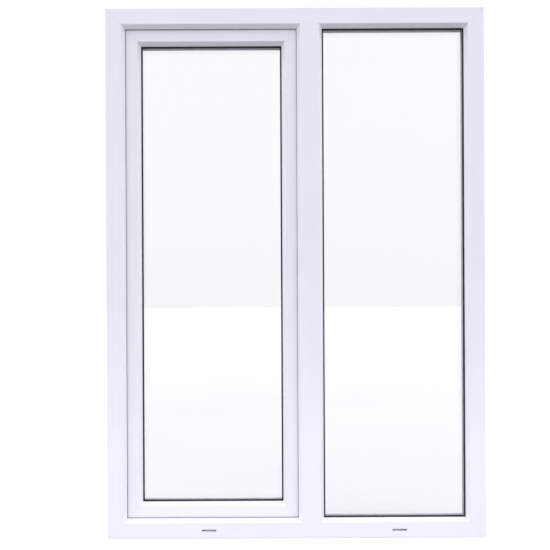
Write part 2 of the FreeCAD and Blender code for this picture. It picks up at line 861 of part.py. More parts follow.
def bead_section(front, back, foot):
    """A glazing bead's outline: a clip foot, a face to the glass and a sloped room side."""
    foot_back = back - D.bead_groove_inset - D.bead_play
    foot_front = foot_back - D.bead_groove_width + 2.5 * D.bead_play
    return [
        (front, 0),
        (front, D.rebate_height),
        (front + D.bead_crest, D.rebate_height),
        (back, D.rebate_height - D.bevel_rise),
        (back, 0),
        (foot_back, 0),
        (foot_back, foot),
        (foot_front, foot),
        (foot_front, 0),
    ]


def make_beads(prefix, endings, rebate, glass_back, back):
    """Four mitred glazing beads, named by their sides, and the gasket between them and the glass."""
    front = glass_back + D.bead_gasket
    foot = 2 * D.bead_play - D.bead_groove_depth
    for name, ending in zip(SIDES, endings):
        body = new_body(f"{prefix}_bead_{ending}")
        side = rebate.side(name)
        loops = across_side(side, [bead_section(front, back, foot)])
        add(body, side.plane, loops, side.start + foot, side.end - foot)
        fillet(body, 1, run_through(side, back, D.rebate_height - D.bevel_rise))
        mitre(body, side, foot, D.rebate_height)
    body = new_body(prefix + "_bead_gasket")
    loops = ring(rebate, D.rebate_height - 2 * D.bead_groove_depth, D.rebate_height + D.seal_proud)
    add(body, "XZ_Plane", loops, glass_back, front)


def make_glazing_blocks(prefix, rebate, front):
    """Packers that carry the glass unit and centre it in its rebate."""
    body = new_body(prefix + "_glazing_blocks")
    loops = []
    for name in SIDES:
        side = rebate.side(name)
        for start in (side.start + D.block_inset, side.end - D.block_inset - D.block_length):
            loops.append(side.strip(start, start + D.block_length, as_size(0), D.edge_clearance))
    add(body, "XZ_Plane", loops, front, front + 2 * D.pane_thickness + D.cavity - 2)


# ------------------------------------------------------------------ the sash


def sash_section():
    """The outline and chambers of the sash profile, as (depth, inward) points from the flange's edge."""
    front = D.sash_setback
    wide = D.hardware_groove_width / 2
    slim = D.rod_groove_width / 2
    step = FLANGE_LAP + D.hardware_groove_depth
    deep = ROD_GROOVE_FLOOR
    outline = [(front, FLANGE_LAP), (front, SASH_BEVEL_START), (front + D.bevel_depth, SASH_FACE)]
    outline += [(SASH_LIP, SASH_FACE)] + gasket_groove(SASH_LIP, SASH_FACE) + [(SASH_LIP, GLAZING_FLOOR)]
    outline += bead_groove(SASH_BACK, GLAZING_FLOOR)
    outline += [(SASH_BACK, GLAZING_FLOOR), (SASH_BACK, 0), (FLANGE_FRONT, 0), (FLANGE_FRONT, FLANGE_LAP)]
    outline += [
        (GROOVE_Y + wide, FLANGE_LAP),
        (GROOVE_Y + wide, step),
        (GROOVE_Y + slim, step),
        (GROOVE_Y + slim, deep),
        (GROOVE_Y - slim, deep),
        (GROOVE_Y - slim, step),
        (GROOVE_Y - wide, step),
        (GROOVE_Y - wide, FLANGE_LAP),
    ]
    wall = D.outer_wall
    nose = [
        (front + wall, FLANGE_LAP + wall),
        (front + wall, SASH_BEVEL_START - D.chamber_step),
        (front + wall + D.bevel_stand_off, SASH_BEVEL_START),
        (SASH_LIP - wall, SASH_BEVEL_START),
        (SASH_LIP - wall, FLANGE_LAP + wall),
    ]
    steel = box_loop(SASH_STEEL_FRONT, SASH_STEEL_BACK, SASH_STEEL_BOTTOM, SASH_STEEL_TOP)
    rim = box_loop(
        SASH_STEEL_BACK + D.inner_web,
        SASH_BACK - wall,
        wall,
        GLAZING_FLOOR - D.bead_groove_depth - wall,
    )
    return [outline, nose, steel, rim]


def sash_member(label, name):
    """One mitred length of the sash."""
    body = new_body(label)
    side = SASH_WHOLE.side(name)
    add(body, side.plane, across_side(side, sash_section()), side.start, side.end)
    fillet(body, D.outer_round, run_through(side, D.sash_setback, FLANGE_LAP))
    fillet(body, D.bevel_round, run_through(side, D.sash_setback, SASH_BEVEL_START))
    fillet(body, D.flange_round, run_through(side, SASH_BACK, 0))
    fillet(body, D.room_round, run_through(side, FLANGE_FRONT, 0))
    fillet(body, D.room_round, run_through(side, SASH_BACK, GLAZING_FLOOR))
    mitre(body, side, as_size(0), SASH_FACE)
    weld_seams(body, side, SASH_FACE, D.sash_setback, SASH_BACK)
    return body


def make_sash_members():
    """Rails and stiles, with the lock's pocket and the pilot holes of the hinges and the lock."""
    sash_member("sash_top_rail", "top")
    sash_member("sash_bottom_rail", "bottom")
    hinge_stile = sash_member("sash_hinge_stile", "left")
    lock_stile = sash_member("sash_lock_stile", "right")
    cut(hinge_stile, "XZ_Plane", sash_leaf_rounds(PILOT), SASH_BACK - D.outer_wall - 1, SASH_BACK + 1)
    half = D.case_height / 2 + 0.5
    pocket = [box_loop(CASE_BACK - 0.1, LOCK_EDGE + 1, HANDLE_Z - half, HANDLE_Z + half)]
    cut(lock_stile, "XZ_Plane", pocket, GROOVE_Y - D.case_width / 2, GROOVE_Y + D.case_width / 2)
    hub = [Round(GEAR_X, HANDLE_Z, D.hub_radius + 0.1)]
    cut(lock_stile, "XZ_Plane", hub, GROOVE_Y, SASH_BACK + 1)
    cut(lock_stile, "XZ_Plane", handle_screw_rounds(D.clearance_hole), GROOVE_Y, SASH_BACK + 1)
    cut(lock_stile, "YZ_Plane", faceplate_screw_rounds(PILOT), LOCK_EDGE - 12, LOCK_EDGE)


def make_sash_reinforcement():
    """Steel channels in the sash, the lock stile's in two lengths either side of the lock case."""
    body = new_body("sash_reinforcement")
    play = D.steel_play
    front = SASH_STEEL_FRONT + play
    back = SASH_STEEL_BACK - play
    low = SASH_STEEL_BOTTOM + play
    high = SASH_STEEL_TOP - play
    wall = D.steel_wall
    loop = [
        (front, high),
        (front + wall, high),
        (front + wall, low + wall),
        (back - wall, low + wall),
        (back - wall, high),
        (back, high),
        (back, low),
        (front, low),
    ]
    notch = D.case_height / 2 + 4
    for name in SIDES:
        side = SASH_WHOLE.side(name)
        start = side.start + SASH_FACE
        end = side.end - SASH_FACE
        spans = [(start, HANDLE_Z - notch), (HANDLE_Z + notch, end)] if name == "right" else [(start, end)]
        for first, last in spans:
            add(body, side.plane, across_side(side, [loop]), first, last)
    cut(body, "YZ_Plane", faceplate_screw_rounds(PILOT), LOCK_EDGE - 14, LOCK_EDGE)


def make_sash_overlap_gasket():
    """The seal on the flange that closes against the outer frame's room face."""
    body = new_body("sash_overlap_gasket")
    loops = ring(SASH_WHOLE, D.overlap_seal_inset, D.overlap_seal_inset + D.overlap_seal_width)
    add(body, "XZ_Plane", loops, FLANGE_FRONT - D.flange_gasket, FLANGE_FRONT)


# -------------------------------------------------------------------- hinges


def hinge_screw_rounds(radius):
    """The screws above and below each frame leaf's knuckles, seen from the room."""
    return [
        Round(HINGE_X - 1, height + way * HINGE_SCREW_Z, radius)
        for height in HINGE_HEIGHTS.values()
        for way in (-1, 1)
    ]


def sash_leaf_rounds(radius):
    """The three screws of each sash leaf, seen from the room."""
    return [
        Round(SASH_LEAF_SCREW_X, height + way * SASH_LEAF_SCREW_Z, radius)
        for height in HINGE_HEIGHTS.values()
        for way in (-1, 0, 1)
    ]


def make_frame_leaf(name, height):
    """A hinge leaf on the jamb: a plate, and the two outer knuckles that hold the pin."""
    body = new_body(f"hinge_{name}_frame_leaf")
    half = D.frame_leaf_height / 2
    plate = box_loop(WHOLE.left + 1, WHOLE.left + BASE - D.flange_overlap - 1, height - half, height + half)
    surface = D.frame_depth + D.leaf_thickness
    add(body, "XZ_Plane", [plate], D.frame_depth, surface)
    fillet(body, D.leaf_corner, facing("y"))
    gap = D.knuckle_middle / 2 + D.knuckle_gap
    end = D.knuckle_stack / 2
    post = box_loop(HINGE_X - D.leaf_post / 2, HINGE_X + D.leaf_post / 2, surface - 1, HINGE_Y)
    for low, high in ((height - end, height - gap), (height + gap, height + end)):
        add(body, "XY_Plane", [Round(HINGE_X, HINGE_Y, D.knuckle_radius)], low, high)
        add(body, "XY_Plane", [post], low, high)
    bore = [Round(HINGE_X, HINGE_Y, D.pin_radius + D.bore_play)]
    cut(body, "XY_Plane", bore, height - end - 1, height + end + 1)
    seats = [Round(HINGE_X - 1, height + way * HINGE_SCREW_Z, PILOT) for way in (-1, 1)]
    cut(body, "XZ_Plane", seats, D.frame_depth - 1, surface + 1)


def make_sash_leaf(name, height):
    """A hinge leaf on the sash: a plate on the stile's room face, and the middle knuckle."""
    body = new_body(f"hinge_{name}_sash_leaf")
    half = D.sash_leaf_height / 2
    left = HINGE_X + D.knuckle_radius + D.sash_leaf_gap
    right = HINGE_X + FLANGE_LAP + D.sash_leaf_reach
    plate = box_loop(left, right, height - half, height + half)
    surface = SASH_BACK + D.leaf_thickness
    add(body, "XZ_Plane", [plate], SASH_BACK, surface)
    fillet(body, D.leaf_corner, facing("y"))
    middle = D.knuckle_middle / 2
    arm = box_loop(HINGE_X, left + 1.4, SASH_BACK, surface)
    add(body, "XY_Plane", [arm], height - middle, height + middle)
    knuckle = [Round(HINGE_X, HINGE_Y, D.knuckle_radius)]
    add(body, "XY_Plane", knuckle, height - middle, height + middle)
    bore = D.pin_radius + D.running_play + D.bush_wall + D.bore_play
    cut(body, "XY_Plane", [Round(HINGE_X, HINGE_Y, bore)], height - middle - 1, height + middle + 1)
    seats = [Round(SASH_LEAF_SCREW_X, height + way * SASH_LEAF_SCREW_Z, PILOT) for way in (-1, 0, 1)]
    cut(body, "XZ_Plane", seats, SASH_BACK - 1, surface + 1)


def make_hinges():
    """Two butt hinges: leaves, pins, bushes and screws."""
    for name, height in HINGE_HEIGHTS.items():
        make_frame_leaf(name, height)
        make_sash_leaf(name, height)
    pins = new_body("hinge_pins")
    bushes = new_body("hinge_bushes")
    end = D.knuckle_stack / 2
    middle = D.knuckle_middle / 2
    inner = D.pin_radius + D.running_play
    for height in HINGE_HEIGHTS.values():
        axis = (HINGE_X, HINGE_Y)
        add(pins, "XY_Plane", [Round(*axis, D.pin_radius)], height - end, height + end)
        cap = end + D.pin_cap
        for low, high in ((height + end, height + cap), (height - cap, height - end)):
            add(pins, "XY_Plane", [Round(*axis, D.knuckle_radius - 0.5)], low, high)
        loops = [Round(*axis, inner + D.bush_wall), Round(*axis, inner)]
        add(bushes, "XY_Plane", loops, height - middle, height + middle)
    fillet(pins, D.pin_cap_round, pin_cap_edges)
    surface = D.frame_depth + D.leaf_thickness
    screws = new_body("hinge_frame_screws")
    add_screws(screws, hinge_screw_rounds, surface, D.frame_leaf_screw_length)
    screws = new_body("hinge_sash_screws")
    add_screws(screws, sash_leaf_rounds, SASH_BACK + D.leaf_thickness, D.sash_leaf_screw_length)


def pin_cap_edges(edge):
    """The outer rims of the hinge pins' caps."""
    end = D.knuckle_stack.value / 2 + D.pin_cap.value
    box = edge.BoundBox
    rims = [height.value + way * end for height in HINGE_HEIGHTS.values() for way in (-1, 1)]
    return box.ZLength < 0.001 and any(abs(box.ZMin - rim) < 0.001 for rim in rims)


def add_screws(body, rounds, surface, length):
    """Screws driven towards the outside, with low domed heads that stand on a surface."""
    top = surface + D.screw_head_height
    add(body, "XZ_Plane", rounds(D.screw_head_radius), surface, top)
    add(body, "XZ_Plane", rounds(D.screw_radius), surface - length, surface + 0.5)
    fillet(body, D.screw_head_round, facing("y", top))


# ------------------------------------------------------- lock, rod and keeps


def faceplate_screw_rounds(radius):
    """Two screws at each end of the faceplate, seen along X."""
    return [
        Round(GROOVE_Y, side.inward(D.faceplate_end + step), radius)
        for side in (WHOLE.side("bottom"), WHOLE.side("top"))
        for step in (D.faceplate_screw_end, D.faceplate_screw_end + D.faceplate_screw_steps)
    ]


def make_faceplate():
    """The long steel strip in the hardware groove, slotted where the cams pass."""
    body = new_body("lock_faceplate")
    half = D.faceplate_width / 2
    low = D.faceplate_end
    high = D.height_all - D.faceplate_end
    inside = LOCK_EDGE - D.faceplate_thickness
    add(body, "YZ_Plane", [box_loop(GROOVE_Y - half, GROOVE_Y + half, low, high)], inside, LOCK_EDGE)
    fillet(body, D.faceplate_corner, facing("x"))
    slot = D.cam_stem_radius + 0.5
    for height in CAM_HEIGHTS.values():
        top = height + ROD_TRAVEL
        loop = box_loop(GROOVE_Y - slot, GROOVE_Y + slot, height, top)
        cut(body, "YZ_Plane", [loop], inside - 1, LOCK_EDGE + 1)
        ends = [Round(GROOVE_Y, height, slot), Round(GROOVE_Y, top, slot)]
        cut(body, "YZ_Plane", ends, inside - 1, LOCK_EDGE + 1)
    cut(body, "YZ_Plane", faceplate_screw_rounds(PILOT), inside - 1, LOCK_EDGE + 1)
    screws = new_body("lock_faceplate_screws")
    shanks = faceplate_screw_rounds(D.screw_radius)
    add(screws, "YZ_Plane", shanks, LOCK_EDGE - D.faceplate_screw_length, LOCK_EDGE + 0.5)
    heads = faceplate_screw_rounds(D.screw_head_radius)
    top = LOCK_EDGE + D.faceplate_head_height
    add(screws, "YZ_Plane", heads, LOCK_EDGE, top)
    fillet(screws, 0.8, facing("x", top))


def make_lock_case():
    """The gearbox case: cheeks, back and ends round the pinion, open towards the drive rod."""
    body = new_body("lock_case")
    half = D.case_height / 2
    wide = D.case_width / 2
    outer_face = ROD_OUT
    outline = box_loop(CASE_BACK, outer_face, HANDLE_Z - half, HANDLE_Z + half)
    add(body, "XZ_Plane", [outline], GROOVE_Y - wide, GROOVE_Y + wide)
    hollow = wide - D.case_wall
    end = half - 3
    inside = box_loop(CASE_BACK + D.case_back_wall, outer_face + 1, HANDLE_Z - end, HANDLE_Z + end)
    cut(body, "XZ_Plane", [inside], GROOVE_Y - hollow, GROOVE_Y + hollow)
    passage = box_loop(ROD_IN - 0.3, outer_face + 1, HANDLE_Z - half - 1, HANDLE_Z + half + 1)
    cut(body, "XZ_Plane", [passage], GROOVE_Y - hollow, GROOVE_Y + hollow)
    hub = [Round(GEAR_X, HANDLE_Z, D.hub_radius + 0.05)]
    cut(body, "XZ_Plane", hub, GROOVE_Y - wide - 1, GROOVE_Y + wide + 1)
    bores = handle_screw_rounds(D.handle_screw_radius + D.pilot_play)
    cut(body, "XZ_Plane", bores, GROOVE_Y - wide - 1, GROOVE_Y + wide + 1)


def make_pinion():
    """The follower: a pinion with a hub in each cheek and a square hole for the spindle."""
    body = new_body("lock_pinion")
    body.setExpression("Placement.Base.x", GEAR_X.text)
    body.setExpression("Placement.Base.z", HANDLE_Z.text)
    half = D.gear_width / 2
    root = PITCH_RADIUS - TOOTH_ROOT
    add(body, "XZ_Plane", [Round(0, 0, root)], GROOVE_Y - half, GROOVE_Y + half)
    slope = math.tan(math.radians(20))
    middle = TOOTH_PITCH / 4 - D.tooth_thinning
    tip = middle - D.tooth_height * slope
    foot = middle + (TOOTH_ROOT + 0.3) * slope
    near = root - 0.3
    far = PITCH_RADIUS + D.tooth_height
    tooth = add(
        body,
        "XZ_Plane",
        [[(near, -foot), (far, -tip), (far, tip), (near, foot)]],
        GROOVE_Y - half,
        GROOVE_Y + half,
    )
    doc.recompute()
    teeth = body.newObject("PartDesign::PolarPattern", "Teeth")
    teeth.Originals = [tooth]
    axis = next(item for item in body.Origin.OriginFeatures if item.Role == "Y_Axis")
    teeth.Axis = (axis, [""])
    teeth.Angle = 360
    teeth.setExpression("Occurrences", D.gear_teeth.text)
    body.Tip = teeth
    wide = D.case_width / 2 - 0.2
    for low, high in ((GROOVE_Y - wide, GROOVE_Y - half), (GROOVE_Y + half, GROOVE_Y + wide)):
        add(body, "XZ_Plane", [Round(0, 0, D.hub_radius)], low, high)
    socket = D.spindle_size / 2 + D.spindle_play
    square = box_loop(-socket, socket, -socket, socket)
    cut(body, "XZ_Plane", [square], GROOVE_Y - wide - 1, GROOVE_Y + wide + 1)


def make_drive_rod():
    """The flat rod behind the faceplate, with the rack that the pinion drives."""
    body = new_body("drive_rod")
    half = D.rod_width / 2
    outline = box_loop(GROOVE_Y - half, GROOVE_Y + half, D.rod_end, D.height_all - D.rod_end)
    add(body, "YZ_Plane", [outline], ROD_IN, ROD_OUT)
    slope = math.tan(math.radians(20))
    pitch_line = GEAR_X + PITCH_RADIUS
    middle = TOOTH_PITCH / 4 - D.tooth_thinning
    tip = middle - D.tooth_height * slope
    foot = middle + TOOTH_ROOT * slope
    lowest = HANDLE_Z - 7.5 * TOOTH_PITCH
    tooth = add(
        body,
        "XZ_Plane",
        [
            [
                (ROD_IN + 0.2, lowest - foot),
                (ROD_IN, lowest - foot),
                (pitch_line - D.tooth_height, lowest - tip),
                (pitch_line - D.tooth_height, lowest + tip),
                (ROD_IN, lowest + foot),
                (ROD_IN + 0.2, lowest + foot),
            ]
        ],
        GROOVE_Y - D.gear_width / 2,
        GROOVE_Y + D.gear_width / 2,
    )
    doc.recompute()
    rack = body.newObject("PartDesign::LinearPattern", "Rack")
    rack.Originals = [tooth]
    axis = next(item for item in body.Origin.OriginFeatures if item.Role == "Z_Axis")
    rack.Direction = (axis, [""])
    rack.setExpression("Length", (10 * TOOTH_PITCH).text)
    rack.Occurrences = 11
    body.Tip = rack


def make_cams():
    """Mushroom cams riveted to the drive rod."""
    body = new_body("locking_cams")
    stems = [Round(GROOVE_Y, height, D.cam_stem_radius) for height in CAM_HEIGHTS.values()]
    heads = [Round(GROOVE_Y, height, D.cam_head_radius) for height in CAM_HEIGHTS.values()]
    end = LOCK_EDGE + D.cam_reach
    add(body, "YZ_Plane", stems, ROD_OUT, end)
    add(body, "YZ_Plane", heads, end - D.cam_head, end)
    fillet(body, 1, facing("x", end))


def keep_rounds(height, radius):
    """The two screws of one keep, seen along X."""
    middle = height + D.keep_length / 5
    end = D.keep_length / 2 - D.keep_screw_inset
    return [Round(GROOVE_Y, middle + way * end, radius) for way in (-1, 1)]


def keep_screw_rounds(radius):
    """The screws of all the keeps."""
    return [spot for height in CAM_HEIGHTS.values() for spot in keep_rounds(height, radius)]


def make_keeps():
    """Keeps on the mullion: the wall of each stands behind its cam only at the locked end."""
    for name, height in CAM_HEIGHTS.items():
        body = new_body(f"keep_{name}")
        low = height + D.keep_length / 5 - D.keep_length / 2
        high = low + D.keep_length
        wall_near = GROOVE_Y + D.cam_head_radius + D.cam_running_gap
        wall_far = wall_near + D.keep_wall
        base = box_loop(GROOVE_Y - D.keep_overhang, wall_far, low, high)
        add(body, "YZ_Plane", [base], KEEP_X - D.keep_base, KEEP_X)
        fillet(body, 2, facing("x"))
        first = height + ROD_TRAVEL - D.cam_head_radius + 1.5
        wall = box_loop(wall_near, wall_far, first, height + ROD_TRAVEL + D.cam_head_radius + 3)
        add(body, "YZ_Plane", [wall], KEEP_X - D.keep_reach, KEEP_X)
        cut(body, "YZ_Plane", keep_rounds(height, PILOT), KEEP_X - D.keep_base - 1, KEEP_X + 1)
    screws = new_body("keep_screws")
    top = KEEP_X - D.keep_base
    add(screws, "YZ_Plane", keep_screw_rounds(D.screw_radius), top - 0.2, top + D.keep_screw_length)
    heads = keep_screw_rounds(D.keep_screw_head_radius)
    add(screws, "YZ_Plane", heads, top - D.keep_screw_head_height, top)


# -------------------------------------------------------------------- handle


def handle_screw_rounds(radius):
    """The two machine screws that clamp the handle's base and the lock case."""
    return [Round(GEAR_X, HANDLE_Z + way * D.handle_screw_spread, radius) for way in (-1, 1)]


def make_handle_base():
    """The rounded base on the lock stile, and the screws through it into the lock case."""
    body = new_body("handle_base")
    across = D.rose_width / 2
    up = D.rose_height / 2
    outline = box_loop(GEAR_X - across, GEAR_X + across, HANDLE_Z - up, HANDLE_Z + up)
    surface = SASH_BACK + D.rose_thickness
    add(body, "XZ_Plane", [outline], SASH_BACK, surface)
    fillet(body, across - 0.5, facing("y"))
    fillet(body, 2, facing("y", surface))
    seat = SASH_BACK + D.neck_seat
    cut(body, "XZ_Plane", [Round(GEAR_X, HANDLE_Z, D.neck_radius + D.spindle_play)], seat, surface + 1)
    passage = [Round(GEAR_X, HANDLE_Z, D.hub_radius - 0.4)]
    cut(body, "XZ_Plane", passage, SASH_BACK - 1, seat + 1)
    cut(body, "XZ_Plane", handle_screw_rounds(D.clearance_hole), SASH_BACK - 1, surface + 1)
    recess = D.handle_screw_head_radius + 0.2
    head_floor = surface - D.handle_head_depth
    cut(body, "XZ_Plane", handle_screw_rounds(recess), head_floor, surface + 1)
    screws = new_body("handle_screws")
    shanks = handle_screw_rounds(D.handle_screw_radius)
    add(screws, "XZ_Plane", shanks, GROOVE_Y - D.case_width / 2 + 0.5, head_floor + 1)
    heads = handle_screw_rounds(D.handle_screw_head_radius)
    add(screws, "XZ_Plane", heads, head_floor, surface - 1)
    fillet(screws, 0.8, facing("y", surface - 1))


def make_handle_lever():
    """The lever, turned up: a neck in the base, and a tapered arm that stands off the stile."""
    body = new_body("handle_lever")
    wide = D.lever_width / 2
    tip = D.lever_tip_width / 2
    front = SASH_BACK + D.lever_standoff
    back = front + D.lever_thickness
    top = HANDLE_Z + D.lever_length
    bottom = HANDLE_Z - wide - 0.5
    outline = [
        (GEAR_X - wide, bottom),
        (GEAR_X + wide, bottom),
        (GEAR_X + tip, top),
        (GEAR_X - tip, top),
    ]
    add(body, "XZ_Plane", [outline], front, back)
    along = facing("y")
    fillet(body, tip - 0.5, lambda edge: along(edge) and edge.BoundBox.ZMin > HANDLE_Z.value)
    fillet(body, wide - 0.5, lambda edge: along(edge) and edge.BoundBox.ZMin < HANDLE_Z.value)
    fillet(body, D.lever_back_round, facing("y", back))
    fillet(body, D.lever_front_round, facing("y", front))
    neck = [Round(GEAR_X, HANDLE_Z, D.neck_radius)]
    add(body, "XZ_Plane", neck, SASH_BACK + D.neck_seat + 0.3, front + 3)
    socket = D.spindle_size / 2 + D.spindle_play
    square = box_loop(GEAR_X - socket, GEAR_X + socket, HANDLE_Z - socket, HANDLE_Z + socket)
    cut(body, "XZ_Plane", [square], SASH_BACK, front + 3)


def make_spindle():
    """The square bar that joins the lever to the pinion."""
    body = new_body("handle_spindle")
    half = D.spindle_size / 2
    square = box_loop(GEAR_X - half, GEAR_X + half, HANDLE_Z - half, HANDLE_Z + half)
    near = GROOVE_Y - D.case_width / 2 + 0.2
    add(body, "XZ_Plane", [square], near, SASH_BACK + D.lever_standoff + 2.8)
    fillet(body, 0.4, facing("y"))


# ------------------------------------------------------------ build and write


def build_frame():
    """The outer frame with its mullion and the sash's closing seal."""
    make_frame_members()
    make_mullion()
    make_frame_reinforcement()
    make_mullion_reinforcement()
    make_mullion_connectors()
    gasket("rebate_gasket", SASH_REBATE, LIP, D.rebate_gasket, D.seal_proud)


def build_fixed_light():
    """The glass unit on the right with its seals, beads and packers."""
    front = LIP + D.outer_gasket
    make_glass("fixed", FIXED_REBATE, front)
    gasket("fixed_outer_gasket", FIXED_REBATE, LIP, D.outer_gasket, D.gasket_proud)
    glass_back = front + 2 * D.pane_thickness + D.cavity
    make_beads("fixed", SIDES, FIXED_REBATE, glass_back, D.frame_depth)
    make_glazing_blocks("fixed", FIXED_REBATE, front)


def build_sash():
    """The opening sash with its glass unit, seals, beads and packers."""
    make_sash_members()
    make_sash_reinforcement()
    front = SASH_LIP + D.outer_gasket
    make_glass("sash", SASH_GLAZING, front)
    gasket("sash_outer_gasket", SASH_GLAZING, SASH_LIP, D.outer_gasket, D.gasket_proud)
    glass_back = front + 2 * D.pane_thickness + D.cavity
    make_beads("sash", ("bottom", "top", "hinge", "lock"), SASH_GLAZING, glass_back, SASH_BACK)
    make_glazing_blocks("sash", SASH_GLAZING, front)
    make_sash_overlap_gasket()


def build_hardware():
    """Hinges, lock, keeps and handle."""
    make_hinges()
    make_faceplate()
    make_lock_case()
    make_pinion()
    make_drive_rod()
    make_cams()
    make_keeps()
    make_handle_base()
    make_handle_lever()
    make_spindle()


def check():
    """Stop if any object failed, any shape is broken, or any pocket removed nothing."""
    faults = []
    for body in bodies:
        volume = 0
        for item in body.Group:
            if {"Invalid", "Error"} & set(item.State) or item.Shape.isNull():
                faults.append(f"{body.Label}: {item.Name} failed")
                break
            if item.TypeId == "PartDesign::Pocket" and item.Shape.Volume > volume - 0.01:
                faults.append(f"{body.Label}: {item.Name} cut nothing")
            if not item.TypeId.startswith("Sketcher"):
                volume = item.Shape.Volume
        if body.Shape.isNull() or not body.Shape.isValid() or not body.Shape.Solids:
            faults.append(f"{body.Label}: no sound shape")
    faults += [item.Name for item in (sheet, layout) if {"Invalid", "Error"} & set(item.State)]
    if faults:
        raise RuntimeError("; ".join(faults))


def write():
    """Write each sub-part to its own file."""
    os.makedirs("parts", exist_ok=True)
    for body in bodies:
        body.Shape.exportStep(os.path.join("parts", body.Label + ".step"))


build_frame()
build_fixed_light()
build_sash()
build_hardware()
doc.recompute()
check()
write()
print(len(bodies), "sub-parts")
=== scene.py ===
"""Dresses a white PVC-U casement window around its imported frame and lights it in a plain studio.

The window is seen from outside: a sash that opens into the room on the left and a fixed light on the right.
All lengths are in metres, in the frame's own axes: X across, Y towards the room, Z up.
"""

import logging
import math
from abc import ABC, abstractmethod
from collections.abc import Callable, Mapping, Sequence
from dataclasses import dataclass, field, replace
from enum import Enum

import bmesh
import bpy
from mathutils import Matrix, Vector


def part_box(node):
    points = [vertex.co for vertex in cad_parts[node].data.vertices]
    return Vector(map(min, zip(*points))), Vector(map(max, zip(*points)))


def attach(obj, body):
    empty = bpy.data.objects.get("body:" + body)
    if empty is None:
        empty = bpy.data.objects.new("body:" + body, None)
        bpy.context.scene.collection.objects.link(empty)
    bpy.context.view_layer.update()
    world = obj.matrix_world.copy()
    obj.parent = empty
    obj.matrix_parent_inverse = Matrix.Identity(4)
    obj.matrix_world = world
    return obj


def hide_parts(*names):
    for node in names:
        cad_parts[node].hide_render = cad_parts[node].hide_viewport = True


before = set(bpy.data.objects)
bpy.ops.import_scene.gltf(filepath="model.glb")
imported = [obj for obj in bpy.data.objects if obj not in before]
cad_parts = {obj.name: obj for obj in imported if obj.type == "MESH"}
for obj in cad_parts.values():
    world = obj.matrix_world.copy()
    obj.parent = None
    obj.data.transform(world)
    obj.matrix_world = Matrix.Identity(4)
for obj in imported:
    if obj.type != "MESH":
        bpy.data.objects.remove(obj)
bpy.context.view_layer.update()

log = logging.getLogger("casement_window")

MM = 0.001
CORNER_STEPS = 5
BUBBLE_STEPS = 10

Colour = tuple[float, float, float, float]
Point = tuple[float, float]
Triple = tuple[float, float, float]
Outline = Callable[[float], float]
Reach = float | Outline

X: Triple = (1.0, 0.0, 0.0)
Y: Triple = (0.0, 1.0, 0.0)
Z: Triple = (0.0, 0.0, 1.0)


class Body(Enum):
    """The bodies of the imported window, by the names they have there."""

    FRAME = "frame"
    SASH = "sash"
    HANDLE = "handle"
    ROD = "rod"


class Slot(Enum):
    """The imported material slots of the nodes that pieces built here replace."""

    GASKET = "black_gasket"
    SPACER = "spacer_bar"
    SCREW = "plated_screw"
    HARDWARE = "white_hardware"
    STEEL = "bright_steel"
    BEAD_SEAL = "bead_seal"


class Grain(Enum):
    """The direction that the die lines of an extrusion run in."""

    LEVEL = X
    UPRIGHT = Z


def grey(level: float) -> Colour:
    """A neutral colour of that linear brightness."""
    return (level, level, level, 1.0)


def times(share: float, colour: Colour) -> Colour:
    """A colour that is darker or brighter by that share."""
    return tuple(share * part for part in colour[:3]) + (1.0,)


# --- shader maths


@dataclass(frozen=True)
class Wire:
    """A node's output that can be used in arithmetic, as if it were a number."""

    graph: "Graph"
    socket: bpy.types.NodeSocket

    def __add__(self, other: "Wire | float") -> "Wire":
        """The sum, as a Math node."""
        return self.graph.math("ADD", self, other)

    __radd__ = __add__

    def __sub__(self, other: "Wire | float") -> "Wire":
        """The difference, as a Math node."""
        return self.graph.math("SUBTRACT", self, other)

    def __mul__(self, other: "Wire | float") -> "Wire":
        """The product, as a Math node."""
        return self.graph.math("MULTIPLY", self, other)

    __rmul__ = __mul__

    def __pow__(self, power: float) -> "Wire":
        """This value raised to a power."""
        return self.graph.math("POWER", self, power)


Input = Wire | float | Sequence[float]


